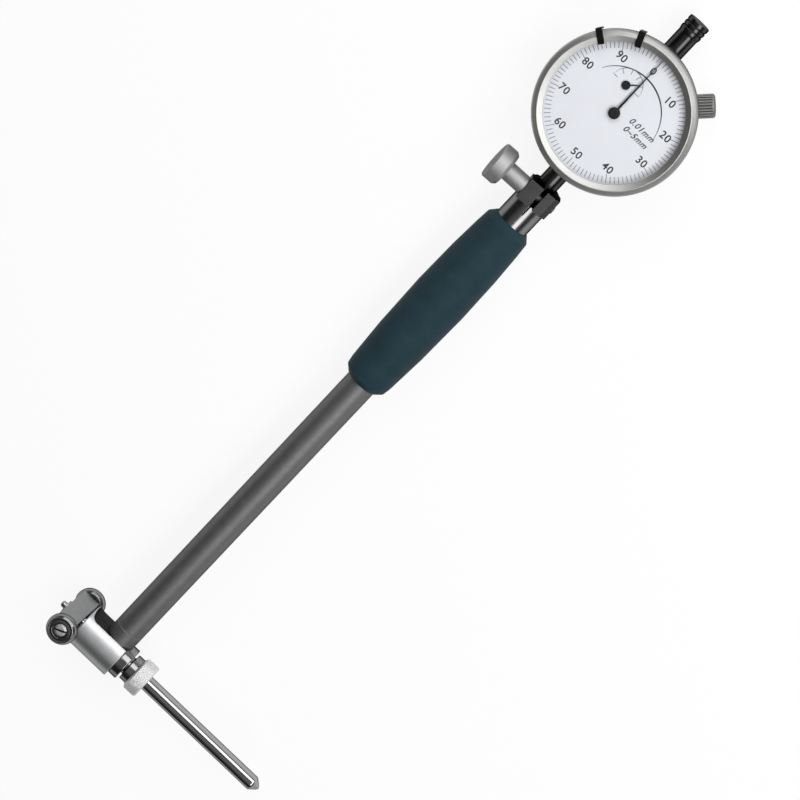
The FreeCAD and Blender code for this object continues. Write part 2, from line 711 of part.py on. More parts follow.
def cover_screw_holes(body, level, radius):
    """Four holes for the back cover's screws, from a level upwards."""
    for angle in COVER_SCREW_ANGLES:
        drill = new_sketch(body, "XY_Plane", level)
        circle(drill, "%s * cos(%d)" % (COVER_SCREW_RING, angle), "%s * sin(%d)" % (COVER_SCREW_RING, angle), radius)
        sunk(body, drill, "3", backwards=True)


def indicator_case():
    """Open ring of the case, with holes for the stem, the top cap, the knob and the cover screws."""
    body = new_body("indicator_case")
    revolve(body, [
        (CASE_BORE, "case_back"),
        ("case_radius", "case_back"),
        ("case_radius", "case_front"),
        (CASE_BORE, "case_front")])
    holes = new_sketch(body, "XZ_Plane")
    circle(holes, "0", "0", "stem_radius")
    sunk(body, holes, "4 * case_radius", both=True)
    cover_screw_holes(body, "case_back", "cover_screw")
    knob_hole = doc.addObject("Part::Cylinder", "knob_hole")
    knob_hole.setExpression("Radius", cells("knob_shank"))
    knob_hole.setExpression("Height", cells("case_radius"))
    inner = FreeCAD.Placement(V(0, value("case_radius / 2"), value("knob_level")), ALONG_Y)
    knob_hole.Placement = FreeCAD.Placement(V(0, 0, 0), on_rim(value("knob_angle"))).multiply(inner)
    finish(without(body, [knob_hole]), "indicator_case", ALONG_Z, ON_DIAL)


def back_cover():
    """Flat back plate and its four screws."""
    body = new_body("back_cover")
    revolve(body, [
        ("0", "cover_back"),
        ("case_radius", "cover_back"),
        ("case_radius", "case_back"),
        ("0", "case_back")])
    cover_screw_holes(body, "cover_back", "cover_screw")
    finish(body, "back_cover", ALONG_Z, ON_DIAL)
    for number, angle in enumerate(COVER_SCREW_ANGLES, start=1):
        turned("cover_screw_%d" % number, [
            ("0", "cover_back"),
            ("cover_screw", "cover_back"),
            ("cover_screw", "case_back + 2.8"),
            ("0", "case_back + 2.8")],
            ALONG_Z, ("%s * cos(%d)" % (COVER_SCREW_RING, angle),
                      "%s + %s * sin(%d)" % (DIAL, COVER_SCREW_RING, angle), "0"))


def indicator_stem():
    turned("indicator_stem", [
        ("spindle_radius + running_gap", STEM_BOTTOM),
        ("stem_radius", STEM_BOTTOM),
        ("stem_radius", "%s - %s" % (DIAL, CASE_BORE)),
        ("spindle_radius + running_gap", "%s - %s" % (DIAL, CASE_BORE))], ALONG_Y)


def top_cap():
    """Cap over the spindle's upper end, with a grooved head."""
    inner = "(%s + %s - 0.4)" % (DIAL, CASE_BORE)
    turned("top_cap", [
        (CAP_BORE, inner),
        ("stem_radius", inner),
        ("stem_radius", CAP_STEP),
        ("stem_radius + cap_groove", CAP_STEP),
        ("stem_radius + cap_groove", CAP_STEP + " + cap_crown * 0.25"),
        ("stem_radius", CAP_STEP + " + cap_crown * 0.3"),
        ("stem_radius", CAP_STEP + " + cap_crown * 0.35"),
        ("stem_radius + cap_groove", CAP_STEP + " + cap_crown * 0.4"),
        ("stem_radius + cap_groove", CAP_TOP + " - 0.4"),
        ("stem_radius - 0.1", CAP_TOP),
        ("0", CAP_TOP),
        ("0", CAP_TOP + " - 2"),
        (CAP_BORE, CAP_TOP + " - 2")], ALONG_Y)


def bezel():
    """Turning rim with the crystal and the outer dial ring seated in it."""
    bore = "case_radius + bezel_gap"
    shelf = "dial_face - dial_thickness"
    glass = "crystal_back + crystal_thickness"
    turned("bezel", [
        (bore, "bezel_back"),
        (BEZEL_RADIUS + " - band_depth", "bezel_back"),
        (BEZEL_RADIUS + " - band_depth", "band_front"),
        (BEZEL_RADIUS, "band_front"),
        (BEZEL_RADIUS, "rim_height"),
        (BEZEL_RADIUS + " - rim_slope * 0.3", "rim_height + (bezel_front - rim_height) * 0.7"),
        (RIDGE, "bezel_front"),
        (OPENING, glass),
        (SEAT, glass),
        (SEAT, shelf),
        (bore, shelf)], ALONG_Z, ON_DIAL)
    turned("crystal", [("0", "crystal_back"), (SEAT, "crystal_back"), (SEAT, glass), ("0", glass)],
           ALONG_Z, ON_DIAL)
    turned("dial_ring", [("dial_seam", shelf), (SEAT, shelf), (SEAT, "dial_face"), ("dial_seam", "dial_face")],
           ALONG_Z, ON_DIAL)


def limit_marker(tag, angle):
    """Bent sheet clip over the rim: a top lying over the ridge and a leg outside."""
    low = "(bezel_front + 0.1)"
    inner = MARKER_OUTER + " - marker_reach"
    fold = MARKER_OUTER + " - marker_sheet"
    body = new_body("limit_marker_" + tag)
    sketch = new_sketch(body, "YZ_Plane")
    outline(sketch, [
        (inner, low),
        (fold, low),
        (fold, "band_front"),
        (MARKER_OUTER, "band_front"),
        (MARKER_OUTER, low + " + marker_sheet / 2"),
        (fold, low + " + marker_sheet"),
        (inner, low + " + marker_sheet")])
    raised(body, sketch, "marker_width", both=True)
    finish(body, "limit_marker_" + tag, turn=on_rim(angle), centre=ON_DIAL)


def bezel_knob():
    """Ribbed screw that holds the bezel, out of the case's side."""
    body = new_body("bezel_knob")
    revolve(body, [
        ("0", CASE_BORE + " + 0.6"),
        ("knob_shank - running_gap", CASE_BORE + " + 0.6"),
        ("knob_shank - running_gap", KNOB_INNER),
        ("knob_radius - 0.3", KNOB_INNER),
        ("knob_radius - 0.3", KNOB_OUTER),
        ("0", KNOB_OUTER)])
    rib = new_sketch(body, "XY_Plane", KNOB_INNER + " + 0.4")
    half = "knob_radius * sin(90 / knob_ribs)"
    outline(rib, [
        ("knob_radius - 0.7", "-" + half),
        ("knob_radius", "-0.6 * " + half),
        ("knob_radius", "0.6 * " + half),
        ("knob_radius - 0.7", half)])
    raised(body, rib, "knob_length - 0.8")
    repeat_round(body, body.Tip, "knob_ribs")
    finish(body, "bezel_knob", ALONG_Y, ("0", "0", "knob_level"), on_rim(value("knob_angle")), ON_DIAL)


# ---------------------------------------------------------------- movement

TRAIN = "sqrt(arbor_x ^ 2 + arbor_y ^ 2) / (wheel_teeth + pinion_teeth)"
WHEEL_PITCH = TRAIN + " * wheel_teeth"
PINION_PITCH = TRAIN + " * pinion_teeth"
RACK_PINION_PITCH = "rack_pitch * rack_pinion_teeth / (2 * pi)"
MESH_ANGLE = math.degrees(math.atan2(-value("arbor_y"), -value("arbor_x")))
ON_ARBOR = ("arbor_x", DIAL + " + arbor_y", "0")
PILLARS = [(-15.2, 4.0), (12.5, 7.0), (9.5, -12.0)]
BASE_FRONT = "base_back + base_thickness"
DIAL_BACK = "dial_face - dial_thickness"


def root_of(pitch, teeth):
    return "(%s) * (1 - 2.2 / (%s))" % (pitch, teeth)


def toothed(body, teeth, radius, back, thickness, start):
    """Straight-sided teeth round a root disc; start is the angle of the first tooth, in degrees."""
    module = "2 * (%s) / (%s)" % (radius, teeth)
    root = "(%s) - 1.1 * %s - 0.05" % (radius, module)
    tip = "(%s) + 0.85 * %s" % (radius, module)
    pitch_half = "%s * pi / 4 * 0.9" % module
    corners = []
    for reach, width in ((root, "1.7"), (tip, "0.5"), (tip, "-0.5"), (root, "-1.7")):
        across = "(%s) * (%s)" % (width, pitch_half)
        corners.append(("(%s) * cos(%s) - %s * sin(%s)" % (reach, start, across, start),
                        "(%s) * sin(%s) + %s * cos(%s)" % (reach, start, across, start)))
    outline(new_sketch(body, "XY_Plane", back), corners)
    raised(body, body.Group[-1], thickness)
    return repeat_round(body, body.Tip, teeth)


def spindle():
    """Rack spindle with its contact point and the arm that the return spring pulls."""
    body = new_body("spindle")
    revolve(body, [
        ("0", SPINDLE_BOTTOM),
        ("spindle_radius", SPINDLE_BOTTOM),
        ("spindle_radius", DIAL + " + spindle_above"),
        ("0", DIAL + " + spindle_above")])
    root = "arbor_x + %s + 1.1 * rack_pitch / pi" % RACK_PINION_PITCH
    middle = "%s + arbor_y - 9 * rack_pitch" % DIAL
    gap = new_sketch(body, "XZ_Plane")
    outline(gap, [
        ("-spindle_radius - 0.1", middle + " - 0.46 * rack_pitch"),
        (root, middle + " - 0.15 * rack_pitch"),
        (root, middle + " + 0.15 * rack_pitch"),
        ("-spindle_radius - 0.1", middle + " + 0.46 * rack_pitch")])
    first = sunk(body, gap, "2 * spindle_radius", both=True)
    rack = body.newObject("PartDesign::LinearPattern", "rack")
    rack.Originals = [first]
    rack.Direction = (origin_plane(body, "Z_Axis"), [""])
    rack.setExpression("Length", cells("18 * rack_pitch"))
    rack.Occurrences = 19
    body.Tip = rack
    finish(body, "spindle", ALONG_Y)
    turned("spindle_point", [
        ("0", ROD_TOP + " + touch_gap"),
        ("point_radius * 0.5", ROD_TOP + " + touch_gap"),
        ("point_radius", ROD_TOP + " + touch_gap + point_radius * 0.6"),
        ("point_radius", SPINDLE_BOTTOM),
        ("0", SPINDLE_BOTTOM)], ALONG_Y)


def return_spring():
    """Arm on the spindle, post in the base, and the spring between them."""
    back = "-spindle_radius - 0.9"
    yoke = block((back, RETURN_TOP, back), ("return_x + 1.5", RETURN_TOP + " + 2.4", "1.2"))
    seat = rod("spindle_radius", RETURN_TOP + " - 1", RETURN_TOP + " + 4", "y")
    finish(without(yoke, [seat]), "spring_arm")
    turned("spring_post", [("0", BASE_FRONT), ("0.9", BASE_FRONT), ("0.9", "1"), ("0", "1")],
           ALONG_Z, ("return_x", RETURN_BOTTOM + " - 0.9", "0"))
    coil_spring("return_spring", "1.2", "return_length", 4, ALONG_Y, ("return_x", RETURN_BOTTOM, "0"))


def rack_wheel():
    """Arbor with the rack pinion and the big wheel; it also carries the counter hand."""
    pinion_root = root_of(RACK_PINION_PITCH, "rack_pinion_teeth")
    wheel_root = root_of(WHEEL_PITCH, "wheel_teeth")
    wheel_front = "gear_back + gear_thickness"
    body = new_body("rack_wheel")
    revolve(body, [
        ("0", "base_back"),
        ("arbor_radius", "base_back"),
        ("arbor_radius", "-1.2"),
        (pinion_root, "-1.2"),
        (pinion_root, "1.2"),
        ("arbor_radius", "1.2"),
        ("arbor_radius", "gear_back"),
        (wheel_root, "gear_back"),
        (wheel_root, wheel_front),
        ("arbor_radius", wheel_front),
        ("arbor_radius", "hand_back"),
        ("0", "hand_back")])
    toothed(body, "rack_pinion_teeth", RACK_PINION_PITCH, "-1.2", "2.4", 0)
    toothed(body, "wheel_teeth", WHEEL_PITCH, "gear_back", "gear_thickness", MESH_ANGLE + 180)
    finish(body, "rack_wheel", ALONG_Z, ON_ARBOR)


def centre_pinion():
    """Ten-leaf pinion on the centre arbor that carries the pointer."""
    root = root_of(PINION_PITCH, "pinion_teeth")
    low = "gear_back - 0.25"
    high = "gear_back + gear_thickness + 0.25"
    body = new_body("centre_pinion")
    revolve(body, [
        ("0", "bridge_plate_back"),
        ("arbor_radius", "bridge_plate_back"),
        ("arbor_radius", low),
        (root, low),
        (root, high),
        ("arbor_radius", high),
        ("arbor_radius", "pointer_back - 0.3"),
        ("0", "pointer_back - 0.3")])
    toothed(body, "pinion_teeth", PINION_PITCH, low, "gear_thickness + 0.5",
            MESH_ANGLE + 180 / value("pinion_teeth"))
    finish(body, "centre_pinion", ALONG_Z, ON_DIAL)


def hand(name, hub, low, high, back, thickness, length, width, at, turn):
    """A tapering hand, built pointing along +Y, with a round hub from low to high."""
    body = new_body(name)
    revolve(body, [("0", low), (hub, low), (hub, high), ("0", high)])
    blade = new_sketch(body, "XY_Plane", back)
    outline(blade, [
        ("-%s / 2" % width, "0.5"),
        ("%s / 2" % width, "0.5"),
        ("%s / 8" % width, length),
        ("-%s / 8" % width, length)])
    raised(body, blade, thickness)
    return finish(body, name, ALONG_Z, (0, 0, 0), turn, at)


def hands():
    hand("pointer", "pointer_hub", "pointer_back - 0.3", "pointer_back + 0.6", "pointer_back",
         "pointer_thickness", "pointer_length", "pointer_width", ON_DIAL, ALONG_Z)
    hand("counter_hand", "hand_hub", "hand_back", "hand_back + 0.35", "hand_back",
         "0.2", "hand_length", "hand_width", ON_ARBOR, on_rim(90 - value("hand_angle")))


def plate(name, radius, back, front, holes):
    """A round plate of the movement with round holes of (x, y, radius)."""
    body = new_body(name)
    revolve(body, [("0", back), (radius, back), (radius, front), ("0", front)])
    for x, y, size in holes:
        circle(new_sketch(body, "XY_Plane", back), x, y, size)
        sunk(body, body.Group[-1], "5", backwards=True)
    return finish(body, name, ALONG_Z, ON_DIAL)


def movement():
    """Base, bridge and front plates on their pillars, with the fixed middle of the dial on top."""
    bearing = "arbor_radius + running_gap"
    clear = "arbor_radius + 0.3"
    arbor = ("arbor_x", "arbor_y", bearing)
    centre = ("0", "0", bearing)
    posts = [(str(x), str(y), "pillar_radius") for x, y in PILLARS]
    plate("movement_base", CASE_BORE, "base_back", BASE_FRONT, [arbor])
    for name, back in (("movement_bridge", "bridge_plate_back"), ("movement_front", "front_plate_back")):
        plate(name, PLATE_RADIUS, back, back + " + plate_thickness", [arbor, centre] + posts)
    plate("dial_centre", "dial_seam - 0.1", DIAL_BACK, "dial_face",
          [("arbor_x", "arbor_y", clear), ("0", "0", clear)])
    for number, (x, y) in enumerate(PILLARS, start=1):
        turned("pillar_%d" % number, [
            ("0", BASE_FRONT),
            ("pillar_radius", BASE_FRONT),
            ("pillar_radius", DIAL_BACK),
            ("0", DIAL_BACK)], ALONG_Z, (str(x), "%s + %s" % (DIAL, y), "0"))


# ---------------------------------------------------------------- the whole gauge

def build():
    head_body()
    transfer_lever()
    measuring_contact()
    anvil_side()
    centring_bridge()
    bridge_wheel("front", ALONG_Z)
    bridge_wheel("rear", FreeCAD.Rotation(V(1, 0, 0), 180))
    tube_and_rod()
    grip()
    stem_holder()
    clamp_screw()
    indicator_case()
    back_cover()
    indicator_stem()
    top_cap()
    bezel()
    limit_marker("right", value("right_marker"))
    limit_marker("left", value("left_marker"))
    bezel_knob()
    spindle()
    return_spring()
    rack_wheel()
    centre_pinion()
    hands()
    movement()
    doc.recompute()


def check():
    """Stop on any object that failed, and on any sub-part without a sound solid."""
    for item in doc.Objects:
        if "Invalid" in item.State or "Error" in item.State:
            raise RuntimeError("%s (%s) is %s" % (item.Name, item.Label, item.State))
    for label, piece in parts.items():
        if piece.Shape.isNull() or not piece.Shape.isValid() or len(piece.Shape.Solids) != 1:
            raise RuntimeError("%s has no single valid solid" % label)


def lay_down():
    """Tip the gauge onto its back and move the origin to the ground under its middle."""
    tip = FreeCAD.Rotation(V(1, 0, 0), -REST_ANGLE)
    lowest = tip.multVec(V(0, value("wheel_radius - 0.7"), -value(WHEEL_FACE)))
    near = tip.multVec(V(0, -value("body_radius"), 0))
    far = tip.multVec(V(0, value(CAP_TOP), 0))
    middle = (value("anvil_outer") - value(BEZEL_RADIUS)) / 2
    ground = V(-middle, -(near.y + far.y) / 2, -lowest.z)
    for piece in parts.values():
        piece.Placement = FreeCAD.Placement(ground, tip).multiply(piece.Placement)


build()
check()
lay_down()
for label, piece in parts.items():
    piece.Shape.exportStep("parts/%s.step" % label)
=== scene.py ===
"""Finished surfaces of a dial bore gauge, laid over its CAD frame.

Lengths are in metres. Turned pieces are drawn as outlines of (radius, height) about their own axis, and each
axis comes from a joint of the frame.
"""

import json
import math

import bmesh
import bpy
from bpy.props import FloatProperty, FloatVectorProperty, IntProperty, PointerProperty
from mathutils import Matrix, Vector


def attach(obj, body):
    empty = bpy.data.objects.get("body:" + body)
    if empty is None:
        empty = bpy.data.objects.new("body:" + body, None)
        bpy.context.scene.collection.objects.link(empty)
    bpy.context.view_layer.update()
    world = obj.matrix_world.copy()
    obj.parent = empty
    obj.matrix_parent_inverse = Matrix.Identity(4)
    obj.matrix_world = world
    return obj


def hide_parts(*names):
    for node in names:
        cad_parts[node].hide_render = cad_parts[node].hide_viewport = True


bl_info = {
    "name": "Dial bore gauge",
    "version": (1, 0, 0),
    "blender": (4, 5, 0),
    "location": "View3D > Sidebar > Bore gauge",
    "description": "Builds the finished surfaces of a dial bore gauge on its CAD frame",
    "category": "Object",
}

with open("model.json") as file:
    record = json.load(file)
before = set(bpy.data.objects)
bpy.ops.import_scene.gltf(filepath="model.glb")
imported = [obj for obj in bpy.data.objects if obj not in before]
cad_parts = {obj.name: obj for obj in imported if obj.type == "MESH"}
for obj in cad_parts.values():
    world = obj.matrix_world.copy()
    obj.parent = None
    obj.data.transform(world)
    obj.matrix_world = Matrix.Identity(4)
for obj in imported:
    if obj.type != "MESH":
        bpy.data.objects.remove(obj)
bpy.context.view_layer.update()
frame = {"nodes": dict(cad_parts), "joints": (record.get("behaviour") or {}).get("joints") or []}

MM = 0.001
ROUND_STEPS = 128
FILLET_STEPS = 5
SMOOTH_ANGLE = math.radians(32)
NOISE = "ShaderNodeTexNoise"
MATH = "ShaderNodeMath"
# almost all of a noise lies between these two values
NOISE_SPAN = (0.3, 0.7)
# a near-black tint on the metals' reflection at a grazing angle: painted shade along the rims of round metal
# pieces
RIM_SHADE_TINT = (0.06, 0.06, 0.06, 1.0)
# turn in radians from one cover screw's slot to the next, so that no two stand alike
SCREW_TWIST = 1.7
# thickness of the print on the dial
PRINT = 0.016 * MM


# ---------------------------------------------------------------- axes and sizes from the frame

def joint(name):
    """A joint of the frame, by its name."""
    return next(item for item in frame["joints"] if item["name"] == name)


def axes_at(origin, along, up):
    """Axes whose Z runs along a direction and whose Y leans towards up."""
    z = Vector(along).normalized()
    x = Vector(up).cross(z).normalized()
    axes = Matrix((x, z.cross(x), z)).transposed().to_4x4()
    axes.translation = Vector(origin)
    return axes


def nearest_on(line, axis, point):
    """The point of a line that is nearest to another point."""
    line, axis = Vector(line), Vector(axis).normalized()
    return line + axis * (Vector(point) - line).dot(axis)


TUBE_WAY = Vector(joint("indicator_turn")["axis"]).normalized()
FRONT_WAY = Vector(joint("pointer_turn")["axis"]).normalized()
RIGHT_WAY = TUBE_WAY.cross(FRONT_WAY)
CENTRE = nearest_on(joint("indicator_turn")["pos_m"], TUBE_WAY, joint("anvil_turn")["pos_m"])
DIAL_CENTRE = nearest_on(joint("indicator_turn")["pos_m"], TUBE_WAY, joint("pointer_turn")["pos_m"])

GAUGE = axes_at(CENTRE, FRONT_WAY, TUBE_WAY)
DIAL = axes_at(DIAL_CENTRE, FRONT_WAY, TUBE_WAY)
TUBE = axes_at(CENTRE, TUBE_WAY, -FRONT_WAY)
BORE = axes_at(CENTRE, RIGHT_WAY, TUBE_WAY)
FRONT_WHEEL = axes_at(joint("wheel_front_spin")["pos_m"], FRONT_WAY, TUBE_WAY)
REAR_WHEEL = axes_at(joint("wheel_rear_spin")["pos_m"], -FRONT_WAY, TUBE_WAY)
THUMB_SCREW = axes_at(joint("clamp_screw_turn")["pos_m"], joint("clamp_screw_turn")["axis"], TUBE_WAY)
KNOB = axes_at(joint("bezel_knob_turn")["pos_m"], joint("bezel_knob_turn")["axis"], FRONT_WAY)


def corners_of(node, axes):
    """A CAD node's corners in the given axes."""
    back = axes.inverted()
    return [back @ corner.co for corner in frame["nodes"][node].data.vertices]


def reach(node, axes):
    """Lowest height, highest height and greatest radius of a CAD node about an axis."""
    corners = corners_of(node, axes)
    return (min(corner.z for corner in corners), max(corner.z for corner in corners),
            max(corner.xy.length for corner in corners))


def bore_of(node, axes):
    """Smallest radius of a CAD node about an axis."""
    return min(corner.xy.length for corner in corners_of(node, axes))


# ---------------------------------------------------------------- colours and nodes

def linear(code):
    """Linear red, green, blue and alpha of an sRGB hex colour."""
    parts = [int(code[place:place + 2], 16) / 255 for place in (1, 3, 5)]
    parts = [part / 12.92 if part <= 0.04045 else ((part + 0.055) / 1.055) ** 2.4 for part in parts]
    return (*parts, 1.0)


def add(tree, kind, inputs=None, **settings):
    """A node with its settings; an input takes a value, a socket, or a node whose first output is used."""
    node = tree.nodes.new(kind)
    for name, value in settings.items():
        setattr(node, name, value)
    for name, value in (inputs or {}).items():
        socket = node.inputs[name]
        if isinstance(value, bpy.types.Node):
            value = value.outputs[0]
        if isinstance(value, bpy.types.NodeSocket):
            tree.links.new(value, socket)
        else:
            socket.default_value = value
    return node


# ---------------------------------------------------------------- properties

def colour(name, code, description):
    return FloatVectorProperty(name=name, description=description, subtype="COLOR", size=4, min=0, max=1,
                               default=linear(code))


def length(name, millimetres, description):
    return FloatProperty(name=name, description=description, unit="LENGTH", min=0, precision=5,
                         default=millimetres * MM)


def angle(name, degrees, description):
    return FloatProperty(name=name, description=description, subtype="ANGLE", default=math.radians(degrees))


class StageProperties(bpy.types.PropertyGroup):
    focal_length: FloatProperty(name="Focal length", description="Of a camera with a 36 mm sensor",
                                unit="CAMERA", default=108)
    distance: length("Camera distance", 882, "From the aimed point to the camera")
    lean: angle("Lean", 17, "How far the camera leans from the dial's normal towards the dial's end")
    roll: angle("Roll", 43.53, "Turn of the tube in the view, clockwise from upright")
    aim_along: length("Aim along", 153.2, "Aimed point, along the tube from the measuring axis")
    aim_across: length("Aim across", 14.7, "Aimed point, towards the anvil")
    floor_colour: colour("Floor", "#f6f6f6", "White paper sweep under the gauge")
    floor_wash: FloatProperty(
        name="Floor wash", description="Share of the paper seen as pure white, over its shadows",
        subtype="FACTOR", min=0, max=1, default=0.88)
    sky_edge: colour("Sky at the floor", "#dcdcdc", "What the studio shows behind the gauge from the side")
    sky_high: colour("Sky above", "#8a8a8a", "What the studio shows straight above")
    sky_low: colour("Sky between", "#363636", "What the studio shows between the two")
    key_power: FloatProperty(
        name="Key power", description="Large soft box beyond the dial", unit="POWER", default=8.5)
    side_power: FloatProperty(
        name="Side power", description="Soft box on the anvil's side", unit="POWER", default=4.4)


class HeadProperties(bpy.types.PropertyGroup):
    plating: colour("Plating", "#c6c7c8", "Satin chrome of the head, bush and bridge")
    bright: colour("Bright chrome", "#8c8c8c", "Bush, lock nut's hub and wheels")
    steel: colour("Anvil steel", "#a6a6a6", "Polished measuring rod and contact")
    nickel: colour("Nickel", "#eeeeee", "Matte nickel of the lock nut and the wheels")
    edge: length("Edge rounding", 0.25, "Broken edges of the milled pieces")
    flat_start: length("Flat start", 3.7, "From the drum's left end to where the milled flat starts to rise")
    run_out: length("Flat run-out", 3.4, "Radius that the milled flat rises with")
    nut_rows: IntProperty(
        name="Nut knurl rows", description="Rows of points in the lock nut's knurl", default=9)
    nut_points: IntProperty(name="Nut knurl points", description="Points in each row of the lock nut's knurl",
                            default=64)


class HandleProperties(bpy.types.PropertyGroup):
    tube_colour: colour("Tube", "#848484", "Ground steel of the tube")
    grip_colour: colour("Grip", "#233a42", "Moulded plastic of the grip")
    grip_dark: colour("Grip shade", "#20343b", "Darker mottling of the grip's grained skin")
    grain: length("Grain", 0.35, "Grain of the grip's moulded skin")
    dark_chrome: colour("Dark chrome", "#888888", "Sleeve under the clamp")
    # black chrome of the indicator stem and top cap; on the clamp the same darker colour is painted shade over
    # the sleeve's chrome
    black_chrome: colour("Black chrome", "#4c4c4c", "Clamp, indicator stem and top cap")
    screw_colour: colour("Thumb screw", "#aaaaaa", "Matte nickel of the thumb screw")


class DialProperties(bpy.types.PropertyGroup):
    rim_colour: colour("Rim", "#b2b2b0", "Satin chrome of the bezel and the case")
    rim_teeth: IntProperty(
        name="Rim teeth", description="Fine teeth round the bezel's back edge", default=180)
    knob_ribs: IntProperty(name="Knob ribs", description="Ribs round the bezel's clamping knob", default=24)
    face: colour("Dial face", "#e8eaf0", "Enamelled dial plates")
    ink: colour("Ink", "#1c1c20", "Numbers and words")
    tick_ink: colour("Tick ink", "#7f8187", "Graduation")
    divisions: IntProperty(name="Divisions", description="Graduation marks in a full turn", default=100)
    tick_outer: length("Tick circle", 24.7, "Radius of the marks' outer ends")
    tick_length: length("Tick length", 2.3, "Short graduation marks")
    tick_long: length("Long tick length", 3.3, "Graduation marks beside the numbers")
    tick_width: length("Tick width", 0.28, "Line width of the graduation")
    number_circle: length("Number circle", 19.5, "Radius of the numbers' middles")
    number_size: length("Number size", 3.9, "Letter size of the numbers")
    black: colour("Black", "#08080a", "Pointer, counter hand and limit markers")


# ---------------------------------------------------------------- materials

def new_material(name, axes):
    """A material, its tree and shader, and the surface's place in the given axes."""
    material = bpy.data.materials.new(name)
    material.use_nodes = True
    tree = material.node_tree
    turn = axes.inverted()
    place = add(tree, "ShaderNodeMapping", {
        "Vector": add(tree, "ShaderNodeTexCoord").outputs["Object"],
        "Location": turn.translation, "Rotation": turn.to_euler()})
    return material, tree, tree.nodes["Principled BSDF"], place


def shaded(shade, amount):
    """A colour made darker or lighter by a factor."""
    return tuple(min(1.0, part * amount) for part in shade[:3]) + (1.0,)


def surfaced(tree, shader, tone, shades, relief, gloss, depth=0.0):
    """Runs the tone between two shades with one noise, and the roughness and a relief with another."""
    ramp = add(tree, "ShaderNodeValToRGB", {"Fac": tone})
    for stop, place, shade in zip(ramp.color_ramp.elements, NOISE_SPAN, shades):
        stop.position, stop.color = place, shade
    spread = add(tree, "ShaderNodeMapRange", {
        "Value": relief, "From Min": NOISE_SPAN[0], "From Max": NOISE_SPAN[1], "To Min": gloss[0],
        "To Max": gloss[1]})
    tree.links.new(ramp.outputs["Color"], shader.inputs["Base Color"])
    tree.links.new(spread.outputs["Result"], shader.inputs["Roughness"])
    if depth:
        bump = add(tree, "ShaderNodeBump", {"Height": relief, "Distance": depth, "Strength": 1.0})
        tree.links.new(bump.outputs["Normal"], shader.inputs["Normal"])


def turned_metal(name, axes, shade, gloss, pitch, depth, streak=0.94):
    """Metal off the lathe: fine rings round its axis change its gloss and, a little, its tone."""
    material, tree, shader, place = new_material(name, axes)
    parts = add(tree, "ShaderNodeSeparateXYZ", {"Vector": place})
    flat = add(tree, "ShaderNodeCombineXYZ", {"X": parts.outputs["X"], "Y": parts.outputs["Y"]})
    radius = add(tree, "ShaderNodeVectorMath", {0: flat}, operation="LENGTH").outputs["Value"]
    across = add(tree, "ShaderNodeCombineXYZ", {"X": radius, "Y": parts.outputs["Z"]})
    # the rings are drawn coarser than real feed marks
    rings = add(tree, NOISE, {"Vector": across, "Scale": 1 / pitch, "Detail": 3.0}, noise_dimensions="2D")
    patches = add(tree, NOISE, {"Vector": place, "Scale": 1 / (4 * MM)})
    surfaced(tree, shader, patches, (shade, shaded(shade, streak)), rings, gloss, depth)
    shader.inputs["Metallic"].default_value = 1.0
    # the near-black grazing tint paints shade along the rims
    shader.inputs["Specular Tint"].default_value = RIM_SHADE_TINT
    return material


def satin_chrome(name, axes, shade):
    """Satin chrome plating on turned steel: bright, with the highlight drawn out by fine turning rings."""
    return turned_metal(name, axes, shade, (0.38, 0.48), 0.12 * MM, 0.0008 * MM)


def bright_chrome(name, axes, shade):
    """Bright chrome plating on turned steel: a mirror, so its sides look dark and its crown white."""
    return turned_metal(name, axes, shade, (0.14, 0.24), 0.12 * MM, 0.0006 * MM)


def polished_steel(name, axes, shade):
    """Lapped and polished hardened steel: almost a mirror, with faint rings."""
    return turned_metal(name, axes, shade, (0.05, 0.10), 0.2 * MM, 0.0004 * MM, 0.97)


def ground_steel(name, axes, shade):
    """Centreless-ground steel tube: grey satin with close grinding rings and slow changes of tone."""
    return turned_metal(name, axes, shade, (0.50, 0.62), 0.25 * MM, 0.002 * MM, 0.92)


def dark_chrome(name, axes, shade):
    """Black chrome plating: a dark mirror that shows narrow highlights."""
    return turned_metal(name, axes, shade, (0.19, 0.26), 0.15 * MM, 0.0006 * MM, 0.85)


def dark_steel(name, axes):
    """Dark, bare and oiled-looking steel with cutter marks too fine to catch much light: the finish of the
    thread and the springs, and painted shade where it lines recesses, grooves and the head's cut faces.
    """
    return turned_metal(name, axes, linear("#505050"), (0.40, 0.55), 0.3 * MM, 0.004 * MM, 0.8)


def matte_nickel(name, axes, shade):
    """Blasted and nickel-plated steel: pale, even and matte, with a fine grain."""
    material, tree, shader, place = new_material(name, axes)
    grain = add(tree, NOISE, {"Vector": place, "Scale": 1 / (0.25 * MM)})
    patches = add(tree, NOISE, {"Vector": place, "Scale": 1 / (5 * MM)})
    surfaced(tree, shader, patches, (shade, shaded(shade, 0.9)), grain, (0.52, 0.64), 0.012 * MM)
    shader.inputs["Metallic"].default_value = 1.0
    # the near-black grazing tint paints shade along the rims
    shader.inputs["Specular Tint"].default_value = RIM_SHADE_TINT
    return material


def grained_plastic(name, axes, shade, dark, size):
    """Moulded ABS with a spark-eroded skin: matte, with a fine grain and soft mottling."""
    material, tree, shader, place = new_material(name, axes)
    grain = add(tree, NOISE, {"Vector": place, "Scale": 1 / size, "Detail": 4.0})
    mottle = add(tree, NOISE, {"Vector": place, "Scale": 1 / (6 * MM), "Detail": 4.0})
    surfaced(tree, shader, mottle, (shade, dark), grain, (0.56, 0.72), 0.03 * MM)
    shader.inputs["Specular IOR Level"].default_value = 0.12
    return material


